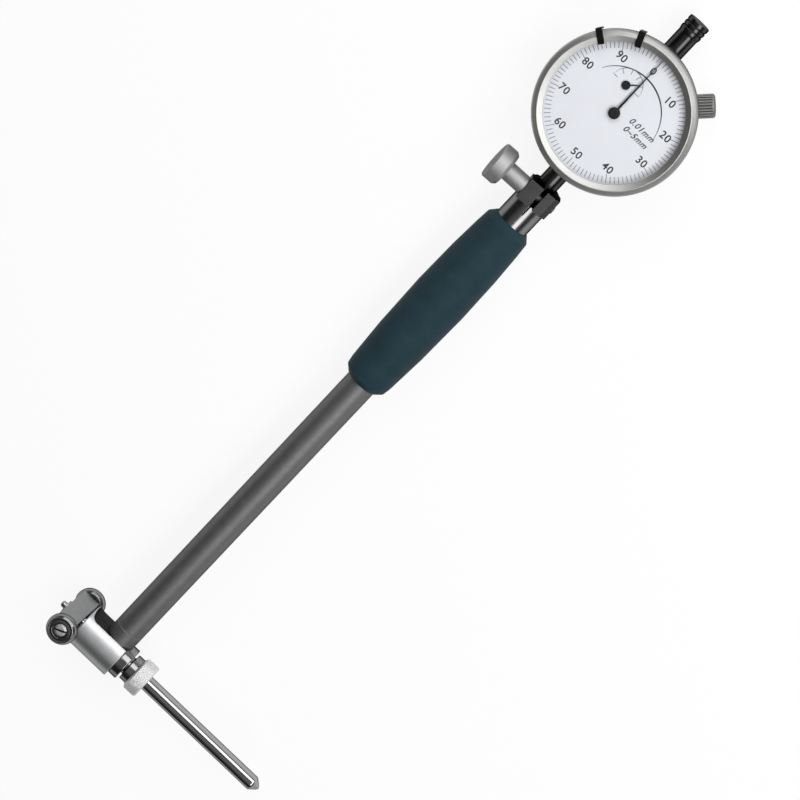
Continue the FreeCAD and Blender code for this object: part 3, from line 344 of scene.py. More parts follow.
def enamel(name, axes, shade, gloss, shine=0.5):
    """Stoved enamel on sheet metal: an even, slightly orange-peeled coat."""
    material, tree, shader, place = new_material(name, axes)
    peel = add(tree, NOISE, {"Vector": place, "Scale": 1 / (0.8 * MM)})
    tone = add(tree, NOISE, {"Vector": place, "Scale": 1 / (12 * MM)})
    surfaced(tree, shader, tone, (shade, shaded(shade, 0.97)), peel, (gloss, gloss + 0.08), 0.002 * MM)
    shader.inputs["Specular IOR Level"].default_value = shine
    return material


def printed_ink(name, axes, shade):
    """Pad-printed ink: matte, a little uneven where it is thin."""
    material, tree, shader, place = new_material(name, axes)
    cover = add(tree, NOISE, {"Vector": place, "Scale": 1 / (0.3 * MM)})
    surfaced(tree, shader, cover, (shade, shaded(shade, 1.35)), cover, (0.6, 0.75))
    return material


def clear_acrylic(name, axes):
    """Cast acrylic crystal: clear, with its faint gloss and almost no tint."""
    material, tree, shader, place = new_material(name, axes)
    haze = add(tree, NOISE, {"Vector": place, "Scale": 1 / (9 * MM)})
    tint = linear("#8c9296")
    surfaced(tree, shader, haze, (tint, tint), haze, (0.02, 0.06))
    shader.inputs["Alpha"].default_value = 0.03
    shader.inputs["IOR"].default_value = 1.49
    return material


# ---------------------------------------------------------------- meshes

def rounded(corners, closed):
    """The outline, with an arc at each corner that has a third number, its radius."""
    points = []
    for index, corner in enumerate(corners):
        here = Vector(corner[:2])
        if len(corner) < 3 or not (closed or 0 < index < len(corners) - 1):
            points.append(here)
            continue
        before = (Vector(corners[index - 1][:2]) - here).normalized()
        after = (Vector(corners[(index + 1) % len(corners)][:2]) - here).normalized()
        half = before.angle(after) / 2
        middle = here + (before + after).normalized() * corner[2] / math.sin(half)
        first = here + before * corner[2] / math.tan(half) - middle
        last = here + after * corner[2] / math.tan(half) - middle
        for step in range(FILLET_STEPS + 1):
            points.append(middle + first.lerp(last, step / FILLET_STEPS).normalized() * corner[2])
    return points


def held(points, closed):
    """Extra points near both ends of each straight run, which keep its shading straight."""
    hold = 0.04 * MM
    out = []
    for index, here in enumerate(points):
        out.append(here)
        if index == len(points) - 1 and not closed:
            break
        there = points[(index + 1) % len(points)]
        run = (there - here).length
        if run > 4 * hold:
            out += [here.lerp(there, hold / run), here.lerp(there, 1 - hold / run)]
    return out


def new_piece(name, mesh, material=None):
    """An object with a mesh and, where one is given, its material."""
    piece = bpy.data.objects.new(name, mesh)
    bpy.context.scene.collection.objects.link(piece)
    if material:
        mesh.materials.clear()
        mesh.materials.append(material)
    return piece


def smooth(mesh):
    """Smooth shading, but for edges sharper than the smooth angle."""
    mesh.shade_smooth()
    mesh.set_sharp_from_angle(angle=SMOOTH_ANGLE)


def evaluated(piece):
    """A piece's mesh with its modifiers applied."""
    return bpy.data.meshes.new_from_object(piece.evaluated_get(bpy.context.evaluated_depsgraph_get()))


def outward_mesh(name, work, axes):
    """The mesh that was built in work, with its faces turned outwards and laid in the given axes."""
    bmesh.ops.recalc_face_normals(work, faces=work.faces)
    mesh = bpy.data.meshes.new(name)
    work.to_mesh(mesh)
    work.free()
    mesh.transform(axes)
    return mesh


def turned(name, corners, axes, material, steps=ROUND_STEPS):
    """A piece turned about the axes' Z from an outline of (radius, height) corners."""
    closed = all(corner[0] > 0 for corner in corners)
    outline = held(rounded(corners, closed), closed)
    work = bmesh.new()
    rings = []
    for point in outline:
        if point.x < 1e-9:
            rings.append([work.verts.new((0, 0, point.y))] * steps)
        else:
            rings.append([work.verts.new((point.x * math.cos(turn), point.x * math.sin(turn), point.y))
                          for turn in (math.tau * step / steps for step in range(steps))])
    pairs = list(zip(rings, rings[1:])) + ([(rings[-1], rings[0])] if closed else [])
    for lower, upper in pairs:
        for step in range(steps):
            ring = [lower[step - 1], lower[step], upper[step], upper[step - 1]]
            face = list(dict.fromkeys(ring))
            if len(face) > 2:
                work.faces.new(face)
    mesh = outward_mesh(name, work, axes)
    smooth(mesh)
    return new_piece(name, mesh, material)


def dressed(name, node, material, edge):
    """A copy of a CAD node with its edges broken and its round faces smooth."""
    mesh = frame["nodes"][node].data.copy()
    work = bmesh.new()
    work.from_mesh(mesh)
    bmesh.ops.remove_doubles(work, verts=work.verts, dist=0.001 * MM)
    bmesh.ops.dissolve_limit(work, angle_limit=math.radians(0.5), verts=work.verts, edges=work.edges)
    work.to_mesh(mesh)
    work.free()
    if "custom_normal" in mesh.attributes:
        mesh.attributes.remove(mesh.attributes["custom_normal"])
    piece = new_piece(name, mesh, material)
    bevel = piece.modifiers.new("broken edges", "BEVEL")
    bevel.width = edge
    bevel.segments = 3
    bevel.limit_method = "ANGLE"
    bevel.angle_limit = SMOOTH_ANGLE
    even = piece.modifiers.new("even flats", "WEIGHTED_NORMAL")
    even.weight = 100
    mesh.shade_smooth()
    finished = evaluated(piece)
    piece.modifiers.clear()
    piece.data = finished
    return piece


def repaint(piece, axes, material, chosen):
    """Gives a second material to the faces whose middle, in the axes, is chosen."""
    piece.data.materials.append(material)
    back = axes.inverted()
    for face in piece.data.polygons:
        if chosen(back @ face.center):
            face.material_index = len(piece.data.materials) - 1


def prism(name, corners, low, high, axes, material=None):
    """A block with the given outline across X and Y, from a low to a high level along Z."""
    work = bmesh.new()
    rings = [[work.verts.new((*corner, level)) for corner in corners] for level in (low, high)]
    work.faces.new(rings[0])
    work.faces.new(rings[1])
    for side in range(len(corners)):
        work.faces.new((rings[0][side - 1], rings[0][side], rings[1][side], rings[1][side - 1]))
    mesh = outward_mesh(name, work, axes)
    return new_piece(name, mesh, material)


def cut(piece, cutters):
    """Cuts pieces out of a piece; a cut face takes its cutter's material."""
    for cutter in cutters:
        tool = piece.modifiers.new("cut", "BOOLEAN")
        tool.object = cutter
        tool.operation = "DIFFERENCE"
        tool.solver = "EXACT"
        tool.material_mode = "TRANSFER"
    finished = evaluated(piece)
    piece.modifiers.clear()
    piece.data = finished
    smooth(finished)
    for cutter in cutters:
        bpy.data.objects.remove(cutter)
    return piece


def settle(piece, body, slot, *nodes):
    """Lets a piece ride on a body and stand for CAD nodes; the slot is not used."""
    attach(piece, body)
    if nodes:
        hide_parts(*nodes)


def finish_node(node, material):
    """Gives a CAD node that keeps its own shape a finished material."""
    for slot in frame["nodes"][node].material_slots:
        slot.material = material


# ---------------------------------------------------------------- node trees

def new_tree(name, **inputs):
    """A geometry tree with named inputs; gives the tree, its inputs and its output node."""
    tree = bpy.data.node_groups.new(name, "GeometryNodeTree")
    for label, kind in {**inputs, "Material": "Material"}.items():
        tree.interface.new_socket(label, in_out="INPUT", socket_type="NodeSocket" + kind)
    tree.interface.new_socket("Geometry", in_out="OUTPUT", socket_type="NodeSocketGeometry")
    return tree, add(tree, "NodeGroupInput").outputs, add(tree, "NodeGroupOutput")


def ring_place(tree, turn, radius, height):
    """The place at an angle, clockwise from the axes' Y, on a circle at a height."""
    sine, cosine = (add(tree, MATH, {0: turn}, operation=way) for way in ("SINE", "COSINE"))
    return add(tree, "ShaderNodeCombineXYZ", {
        "X": add(tree, MATH, {0: sine, 1: radius}, operation="MULTIPLY"),
        "Y": add(tree, MATH, {0: cosine, 1: radius}, operation="MULTIPLY"),
        "Z": height})


def close_tree(tree, geometry, given, output):
    """Ends a tree with its instances made real and its material set."""
    real = add(tree, "GeometryNodeRealizeInstances", {"Geometry": geometry})
    painted = add(tree, "GeometryNodeSetMaterial", {"Geometry": real, "Material": given["Material"]})
    tree.links.new(painted.outputs[0], output.inputs[0])
    return tree


def ribs_tree():
    """Rounded ribs that stand round an axis."""
    tree, given, output = new_tree(
        "Ribs round an axis", Count="Int", Radius="Float", Height="Float", Length="Float", Width="Float")
    step = add(tree, MATH, {0: math.tau, 1: given["Count"]}, operation="DIVIDE")
    turn = add(tree, MATH, {0: add(tree, "GeometryNodeInputIndex"), 1: step}, operation="MULTIPLY")
    spots = add(tree, "GeometryNodePoints", {
        "Count": given["Count"], "Position": ring_place(tree, turn, given["Radius"], given["Height"])})
    half = add(tree, MATH, {0: given["Width"], 1: 0.5}, operation="MULTIPLY")
    rib = add(tree, "GeometryNodeMeshCylinder", {"Vertices": 8, "Radius": half, "Depth": given["Length"]})
    return close_tree(
        tree, add(tree, "GeometryNodeInstanceOnPoints", {"Points": spots, "Instance": rib}), given, output)


def knurl_tree():
    """Rows of small pyramids round an axis, each row half a step on from the one before."""
    tree, given, output = new_tree(
        "Diamond knurl", Rows="Int", Points="Int", Radius="Float", Start="Float", Pitch="Float", Size="Float")
    index = add(tree, "GeometryNodeInputIndex")
    row = add(tree, MATH, {
        0: add(tree, MATH, {0: index, 1: given["Points"]}, operation="DIVIDE")}, operation="FLOOR")
    odd = add(tree, MATH, {0: row, 1: 2.0}, operation="MODULO")
    spot = add(tree, MATH, {0: odd, 1: 0.5, 2: index}, operation="MULTIPLY_ADD")
    step = add(tree, MATH, {0: math.tau, 1: given["Points"]}, operation="DIVIDE")
    turn = add(tree, MATH, {0: spot, 1: step}, operation="MULTIPLY")
    height = add(tree, MATH, {0: row, 1: given["Pitch"], 2: given["Start"]}, operation="MULTIPLY_ADD")
    spots = add(tree, "GeometryNodePoints", {
        "Count": add(tree, MATH, {0: given["Rows"], 1: given["Points"]}, operation="MULTIPLY"),
        "Position": ring_place(tree, turn, given["Radius"], height)})
    aim = add(
        tree, "FunctionNodeAlignRotationToVector", {"Vector": ring_place(tree, turn, 1.0, 0.0)}, axis="Z")
    # a pyramid is about a third as tall as its base is wide from the middle to a corner
    tall = add(tree, MATH, {0: given["Size"], 1: 0.35}, operation="MULTIPLY")
    tooth = add(tree, "GeometryNodeMeshCone", {
        "Vertices": 4, "Radius Bottom": given["Size"], "Radius Top": 0.0, "Depth": tall})
    copies = add(tree, "GeometryNodeInstanceOnPoints", {"Points": spots, "Instance": tooth, "Rotation": aim})
    return close_tree(tree, copies, given, output)


def graduation_tree():
    """Printed marks round a dial, with a longer mark at every so many."""
    tree, given, output = new_tree(
        "Graduation", Count="Int", Every="Int", Radius="Float", Height="Float", Short="Float", Long="Float",
        Width="Float", Thickness="Float", First="Float", Step="Float")
    index = add(tree, "GeometryNodeInputIndex")
    turn = add(tree, MATH, {0: index, 1: given["Step"], 2: given["First"]}, operation="MULTIPLY_ADD")
    left_over = add(tree, MATH, {0: index, 1: given["Every"]}, operation="MODULO")
    is_short = add(tree, MATH, {0: left_over, 1: 0.5}, operation="GREATER_THAN")
    shortfall = add(tree, MATH, {0: given["Short"], 1: given["Long"]}, operation="SUBTRACT")
    size = add(tree, MATH, {0: is_short, 1: shortfall, 2: given["Long"]}, operation="MULTIPLY_ADD")
    middle = add(tree, MATH, {0: size, 1: -0.5, 2: given["Radius"]}, operation="MULTIPLY_ADD")
    spots = add(tree, "GeometryNodePoints", {
        "Count": given["Count"], "Position": ring_place(tree, turn, middle, given["Height"])})
    spin = add(tree, "ShaderNodeCombineXYZ", {"Z": add(tree, MATH, {0: turn, 1: -1.0}, operation="MULTIPLY")})
    scale = add(tree, "ShaderNodeCombineXYZ", {"X": given["Width"], "Y": size, "Z": given["Thickness"]})
    copies = add(tree, "GeometryNodeInstanceOnPoints", {
        "Points": spots, "Instance": add(tree, "GeometryNodeMeshCube", {"Size": (1, 1, 1)}),
        "Rotation": add(tree, "FunctionNodeEulerToRotation", {"Euler": spin}), "Scale": scale})
    return close_tree(tree, copies, given, output)


def copies_tree():
    """A finished small piece repeated round an axis, each turned further about itself."""
    tree, given, output = new_tree(
        "Copies round an axis", Piece="Object", Count="Int", Radius="Float", First="Float", Twist="Float")
    index = add(tree, "GeometryNodeInputIndex")
    step = add(tree, MATH, {0: math.tau, 1: given["Count"]}, operation="DIVIDE")
    turn = add(tree, MATH, {0: index, 1: step, 2: given["First"]}, operation="MULTIPLY_ADD")
    spots = add(tree, "GeometryNodePoints", {
        "Count": given["Count"], "Position": ring_place(tree, turn, given["Radius"], 0.0)})
    piece = add(tree, "GeometryNodeObjectInfo", {"Object": given["Piece"]}).outputs["Geometry"]
    spin = add(tree, "ShaderNodeCombineXYZ", {
        "Z": add(tree, MATH, {0: index, 1: given["Twist"]}, operation="MULTIPLY")})
    copies = add(tree, "GeometryNodeInstanceOnPoints", {
        "Points": spots, "Instance": piece,
        "Rotation": add(tree, "FunctionNodeEulerToRotation", {"Euler": spin})})
    return close_tree(tree, copies, given, output)


def grown(name, tree, inputs, axes):
    """The plain mesh that a tree makes of its inputs, laid in the given axes."""
    seed = new_piece(name + "_seed", bpy.data.meshes.new(name + "_seed"))
    modifier = seed.modifiers.new(name, "NODES")
    modifier.node_group = tree
    sockets = {item.name: item.identifier for item in tree.interface.items_tree if item.in_out == "INPUT"}
    for label, value in inputs.items():
        modifier[sockets[label]] = value
    mesh = evaluated(seed)
    bpy.data.objects.remove(seed)
    mesh.transform(axes)
    mesh.name = name
    return new_piece(name, mesh)


# ---------------------------------------------------------------- stage

def soft_box(name, aim, way, distance, size, power):
    """A rectangular lamp at a distance from the aimed point, facing it."""
    lamp = bpy.data.lights.new(name, "AREA")
    lamp.shape = "RECTANGLE"
    lamp.size, lamp.size_y = size
    lamp.energy = power
    holder = bpy.data.objects.new(name, lamp)
    bpy.context.scene.collection.objects.link(holder)
    holder.matrix_world = axes_at(aim + way * distance, way, TUBE_WAY)


class GAUGE_OT_stage(bpy.types.Operator):
    """Camera, soft boxes, studio light and the paper floor"""
    bl_idname = "gauge.stage"
    bl_label = "Stage"

    def execute(self, context):
        sizes = context.scene.gauge_stage
        scene = context.scene
        scene.view_settings.view_transform = "Standard"

        aim = GAUGE @ Vector((sizes.aim_across, sizes.aim_along, 0))
        back = FRONT_WAY * math.cos(sizes.lean) + TUBE_WAY * math.sin(sizes.lean)
        upright = (TUBE_WAY - back * TUBE_WAY.dot(back)).normalized()
        sideways = upright.cross(back)
        up = upright * math.cos(sizes.roll) - sideways * math.sin(sizes.roll)
        lens = bpy.data.cameras.new("camera")
        lens.lens = sizes.focal_length
        lens.sensor_width = 36
        lens.clip_end = 20
        camera = bpy.data.objects.new("camera", lens)
        scene.collection.objects.link(camera)
        camera.matrix_world = axes_at(aim + back * sizes.distance, back, up)
        scene.camera = camera

        key_lean, side_lean = math.radians(42), math.radians(30)
        key_way = FRONT_WAY * math.cos(key_lean) + TUBE_WAY * math.sin(key_lean)
        side_way = FRONT_WAY * math.cos(side_lean) + RIGHT_WAY * math.sin(side_lean)
        soft_box("key", aim, key_way, 0.95, (1.5, 0.6), sizes.key_power)
        soft_box("side", aim, side_way, 0.9, (0.4, 0.9), sizes.side_power)

        world = bpy.data.worlds.new("studio")
        world.use_nodes = True
        tree = world.node_tree
        way = add(tree, "ShaderNodeTexCoord").outputs["Object"]
        rise = add(tree, "ShaderNodeSeparateXYZ", {"Vector": way}).outputs["Z"]
        ramp = add(tree, "ShaderNodeValToRGB", {"Fac": rise})
        ramp.color_ramp.elements[0].position = 0.16
        ramp.color_ramp.elements[0].color = sizes.sky_edge
        ramp.color_ramp.elements[1].color = sizes.sky_high
        for height in (0.3, 0.82):
            ramp.color_ramp.elements.new(height).color = sizes.sky_low
        tree.links.new(ramp.outputs["Color"], tree.nodes["Background"].inputs["Color"])
        scene.world = world

        bpy.ops.mesh.primitive_plane_add(size=6)
        floor = context.active_object
        floor.name = "floor"
        material, tree, shader, _ = new_material("white paper", Matrix.Identity(4))
        shader.inputs["Base Color"].default_value = sizes.floor_colour
        shader.inputs["Roughness"].default_value = 0.9
        shader.inputs["Specular IOR Level"].default_value = 0.1
        rays = add(tree, "ShaderNodeLightPath").outputs
        mirrored = add(
            tree, MATH, {0: rays["Is Glossy Ray"], 1: rays["Is Transmission Ray"]}, operation="MAXIMUM")
        seen = add(tree, MATH, {0: rays["Is Camera Ray"], 1: mirrored}, operation="MAXIMUM")
        washed = add(tree, "ShaderNodeMixShader", {
            0: add(tree, MATH, {0: seen, 1: sizes.floor_wash}, operation="MULTIPLY"), 1: shader,
            2: add(tree, "ShaderNodeEmission", {"Strength": 1.0})})
        tree.links.new(washed.outputs[0], tree.nodes["Material Output"].inputs["Surface"])
        floor.data.materials.append(material)
        return {"FINISHED"}


# ---------------------------------------------------------------- bore head

class GAUGE_OT_head(bpy.types.Operator):
    """Milled head, its bush, the lock nut and the measuring rod"""
    bl_idname = "gauge.head"
    bl_label = "Bore head"

    def execute(self, context):
        sizes = context.scene.gauge_head
        plated = satin_chrome("satin chrome, turned round the bore", BORE, sizes.plating)
        polished = polished_steel("polished steel", BORE, sizes.steel)
        matte = matte_nickel("matte nickel, knurled", BORE, sizes.nickel)
        bright = bright_chrome("bright chrome", BORE, sizes.bright)

        # the drum's cut faces take dark steel as painted shade: shade in the lever slot and the bores, and a
        # painted dark reflection on the milled flat
        settle(
            self.drum(plated, dark_steel("milled flat", GAUGE), sizes), "frame", "satin_chrome", "head_body")

        bore = bore_of("anvil_bush", BORE)
        left, right, collar = reach("anvil_bush", BORE)
        start = reach("head_body", BORE)[1]
        finish = start + 3.9 * MM
        neck = bore_of("anvil_lock_nut", BORE) + 1.05 * MM
        spigot = collar - 2.1 * MM
        threads = []
        crest = finish + 0.5 * MM
        while crest < right - 0.6 * MM:
            threads += [(neck - 0.3 * MM, crest), (neck, crest + 0.25 * MM)]
            crest += 0.5 * MM
        bush = turned("bush", [
            (bore, left), (spigot, left), (spigot, start),
            (collar, start, 0.4 * MM), (collar, finish, 0.4 * MM), (neck - 0.3 * MM, finish)]
            + threads + [(neck - 0.3 * MM, right), (bore, right)], BORE, bright)
        settle(bush, "frame", "satin_chrome", "anvil_bush")

        low, high, radius = reach("anvil_lock_nut", BORE)
        inner = bore_of("anvil_lock_nut", BORE)
        hub = radius - 1.55 * MM
        step = low + 3.2 * MM
        nut = turned("lock_nut", [
            (neck + 0.04 * MM, low), (hub, low, 0.35 * MM), (hub, step - 0.2 * MM), (radius - 1.0 * MM, step),
            (radius - 0.12 * MM, step + 0.7 * MM), (radius - 0.12 * MM, high - 0.7 * MM),
            (radius - 0.6 * MM, high, 0.2 * MM), (inner + 0.4 * MM, high, 0.1 * MM),
            (inner, high - 0.4 * MM), (inner, high - 1.7 * MM), (neck + 0.04 * MM, high - 1.7 * MM)], BORE,
            matte)
        repaint(nut, BORE, bright, lambda middle: middle.z < step - 0.1 * MM)
        settle(nut, "lock_nut", "matte_nickel", "anvil_lock_nut")
        # the knurl is drawn coarser than the real one
        rows = sizes.nut_rows
        first = step + 0.95 * MM
        pitch = (high - 0.95 * MM - first) / (rows - 1)
        knurl = grown("lock_nut_knurl", knurl_tree(), {
            "Rows": rows, "Points": sizes.nut_points, "Radius": radius - 0.13 * MM, "Start": first,
            "Pitch": pitch, "Size": 0.42 * MM, "Material": matte}, BORE)
        settle(knurl, "lock_nut", "matte_nickel")

        low, high, radius = reach("fixed_anvil", BORE)
        rod = turned("measuring_rod", [
            (0, low), (radius, low, 0.2 * MM), (radius, high - 3.0 * MM, 1.6 * MM),
            (0.8 * MM, high - 0.3 * MM, 0.5 * MM), (0.35 * MM, high), (0, high)], BORE, polished)
        settle(rod, "anvil", "polished_steel", "fixed_anvil")

        settle(contact_piece(polished), "contact", "hard_steel", "measuring_contact")
        finish_node("lever_pin", bright)
        finish_node("transfer_lever", bright)
        spring_steel = dark_steel("oiled spring steel", BORE)
        for node in ("contact_spring", "bridge_spring_front", "bridge_spring_rear", "bridge_pin_front",
                     "bridge_pin_rear"):
            finish_node(node, spring_steel)
        return {"FINISHED"}

    def drum(self, plated, milled, sizes):
        """The head's drum with its milled flat, the lever slot and the bores of the contact and guide pins."""
        low, high, radius = reach("head_body", BORE)
        flat = reach("tube_socket", TUBE)[0]
        blank = turned("head", [
            (0, low), (radius, low, 2 * sizes.edge), (radius, high, sizes.edge), (0, high)], BORE, plated)
        start = low + sizes.flat_start
        run_out = sizes.run_out
        past = radius + 2 * MM
        flat_outline = [(high + MM, flat), (high + MM, past), (start - run_out, past)]
        arc_steps = 12
        for step in range(arc_steps + 1):
            turn = math.pi * (1 + step / arc_steps / 2)
            flat_outline.append((start + run_out * math.cos(turn), flat + run_out + run_out * math.sin(turn)))
        slot = 1.2 * MM
        lever_low, lever_high = (side(corner.x for corner in corners_of("transfer_lever", GAUGE))
                                 for side in (min, max))
        flange = reach("measuring_contact", BORE)[2] + 0.04 * MM
        stem_bore = flange * 0.55
        spring = reach("contact_spring", BORE)[1]
        # the cutters' dark faces are painted shade in the slot and bores, and a painted dark reflection on the
        # flat
        cutters = [
            prism("flat_cutter", flat_outline, -past, past, GAUGE, milled),
            prism("slot_cutter", [(lever_low - 0.6 * MM, -1.6 * MM), (lever_high + 1.8 * MM, -1.6 * MM),
                                  (lever_high + 1.8 * MM, past), (lever_low - 0.6 * MM, past)],
                  -slot, slot, GAUGE, milled),
            turned("contact_cutter", [
                (0, low - MM), (flange, low - MM), (flange, spring), (stem_bore, spring),
                (stem_bore, lever_low), (0, lever_low)], BORE, milled, 48)]
        spring_bore, pin_bore = 1.78 * MM, 1.04 * MM
        for tag in ("front", "rear"):
            corners = corners_of("bridge_pin_" + tag, GAUGE)
            middle = sum(corners, Vector()) / len(corners)
            pin = BORE @ Matrix.Translation((-middle.z, 0, 0))
            inner = max(corner.x for corner in corners) + 1.5 * MM
            pocket = max(corner.x for corner in corners_of("bridge_spring_" + tag, GAUGE))
            cutters.append(turned("pin_cutter", [
                (0, low - MM), (spring_bore, low - MM), (spring_bore, pocket), (pin_bore, pocket),
                (pin_bore, inner), (0, inner)], pin, milled, 32))
        return cut(blank, cutters)


def contact_piece(material):
    """Measuring contact: a round-nosed pin with its flange and stem."""
    low, high, flange = reach("measuring_contact", BORE)
    radius = 1.35 * MM
    stem = 1.05 * MM
    flange_low, flange_high = low + 12.1 * MM, low + 14.6 * MM
    return turned("contact", [
        (0, low), (radius, low, 1.0 * MM), (radius, flange_low), (flange, flange_low, 0.2 * MM),
        (flange, flange_high, 0.2 * MM), (stem, flange_high), (stem, high, 0.2 * MM), (0, high)],
        BORE, material)


class GAUGE_OT_bridge(bpy.types.Operator):
    """Centring bridge with its two wheels and their axle screws"""
    bl_idname = "gauge.bridge"
    bl_label = "Centring bridge"

    def execute(self, context):
        sizes = context.scene.gauge_head
        # the bridge's plating is the head's plating made darker by a factor: painted shade
        plated = satin_chrome("satin chrome, darker as painted shade", GAUGE, shaded(sizes.plating, 0.68))
        settle(
            dressed("bridge", "centring_bridge", plated, 0.45 * MM), "bridge", "satin_chrome",
            "centring_bridge")
        for tag, axes in (("front", FRONT_WHEEL), ("rear", REAR_WHEEL)):
            rim = bright_chrome("chromed wheel, %s" % tag, axes, sizes.bright)
            head = matte_nickel("screw steel, %s" % tag, axes, shaded(sizes.nickel, 0.75))
            self.wheel(tag, axes, rim, head, dark_steel("painted shade in recess, %s" % tag, axes))
        return {"FINISHED"}

    def wheel(self, tag, axes, rim, head, dark):
        """A wheel with its recess, and its slotted axle screw."""
        node = "bridge_wheel_" + tag
        low, high, radius = reach(node, axes)
        hole = bore_of(node, axes)
        recess, recess_floor = 3.2 * MM, high - 1 * MM
        wheel = turned("wheel_" + tag, [
            (hole, low), (radius - 1.2 * MM, low, 0.5 * MM), (radius, low + 1.2 * MM, 1.6 * MM),
            (radius, high - 1.2 * MM, 1.6 * MM), (radius - 1.2 * MM, high, 0.4 * MM),
            (radius - 2.0 * MM, high - 0.15 * MM, 0.2 * MM), (recess, high, 0.15 * MM),
            (recess, recess_floor, 0.1 * MM), (hole, recess_floor)], axes, rim)
        settle(wheel, "wheel_" + tag, "wheel_steel", node)
        # the recess round the axle screw is painted dark: painted shade
        repaint(wheel, axes, dark, lambda middle: middle.xy.length < recess + 0.05 * MM)
        low, high, radius = reach("wheel_screw_" + tag, axes)
        seat, shank, face = high - 0.81 * MM, 1.5 * MM, 1.6 * MM
        screw = turned("wheel_screw_" + tag, [
            (0, low), (shank, low), (shank, seat), (radius - 0.3 * MM, seat),
            (radius - 0.3 * MM, high - 0.3 * MM, 0.3 * MM), (face, high, 0.6 * MM), (0, high)], axes, head, 64)
        half, depth, slot_turn = 0.4 * MM, 0.65 * MM, math.radians(25)
        # the slot's cut faces take the same dark: painted shade in the slot
        slot = prism("slot_cutter", [(-radius, -half), (radius, -half), (radius, half), (-radius, half)],
                     high - depth, high + MM, axes @ Matrix.Rotation(slot_turn, 4, "Z"), dark)
        settle(cut(screw, [slot]), "bridge", "screw_steel", "wheel_screw_" + tag)


# ---------------------------------------------------------------- tube and grip

class GAUGE_OT_handle(bpy.types.Operator):
    """Long tube, its socket and the moulded grip"""
    bl_idname = "gauge.handle"
    bl_label = "Tube and grip"

    def execute(self, context):
        sizes = context.scene.gauge_handle
        steel = ground_steel("ground steel tube", TUBE, sizes.tube_colour)
        low, high, radius = reach("tube_socket", TUBE)
        bore = bore_of("tube_socket", TUBE)
        socket = turned("socket", [
            (bore, low), (radius, low), (radius, high - 0.2 * MM), (radius - 0.2 * MM, high), (bore, high)],
            TUBE, steel)
        settle(socket, "frame", "satin_chrome", "tube_socket")
        low, high, radius = reach("main_tube", TUBE)
        bore = bore_of("main_tube", TUBE)
        tube = turned("tube", [
            (bore, low), (radius - 0.2 * MM, low), (radius, low + 0.2 * MM), (radius, high), (bore, high)],
            TUBE, steel)
        settle(tube, "frame", "tube_steel", "main_tube")
        plastic = grained_plastic(
            "moulded grip plastic", TUBE, sizes.grip_colour, sizes.grip_dark, sizes.grain)
        settle(self.grip(plastic), "frame", "grip_plastic", "grip")
        for node in ("push_rod", "rod_guide_low", "rod_guide_high"):
            finish_node(node, steel)
        return {"FINISHED"}

    def grip(self, plastic):
        """The CAD grip's rings, joined by a smooth curve."""
        bore = bore_of("grip", TUBE)
        rings = sorted(
            {(round(corner.z, 6), round(corner.xy.length, 6)) for corner in corners_of("grip", TUBE)
             if corner.xy.length > bore + 0.5 * MM})
        profile = [(bore, rings[0][0]), (rings[0][1], rings[0][0])]
        profile += curve_through([(radius, height) for height, radius in rings[1:-1]], 2)
        profile[-1] += (0.25 * MM,)
        profile += [(rings[-1][1], rings[-1][0], 0.3 * MM), (bore, rings[-1][0])]
        return turned("grip_shell", profile, TUBE, plastic)


def curve_through(points, steps):
    """A smooth run of points through the given ones."""
    points = [Vector(point) for point in points]
    out = []
    for index in range(len(points) - 1):
        first, second = points[index], points[index + 1]
        before = points[max(index - 1, 0)]
        after = points[min(index + 2, len(points) - 1)]
        for step in range(steps):
            part = step / steps
            out.append(0.5 * (2 * first + (second - before) * part
                              + (2 * before - 5 * first + 4 * second - after) * part ** 2
                              + (3 * first - before - 3 * second + after) * part ** 3))
    out.append(points[-1])
    return [tuple(point) for point in out]


# ---------------------------------------------------------------- clamp

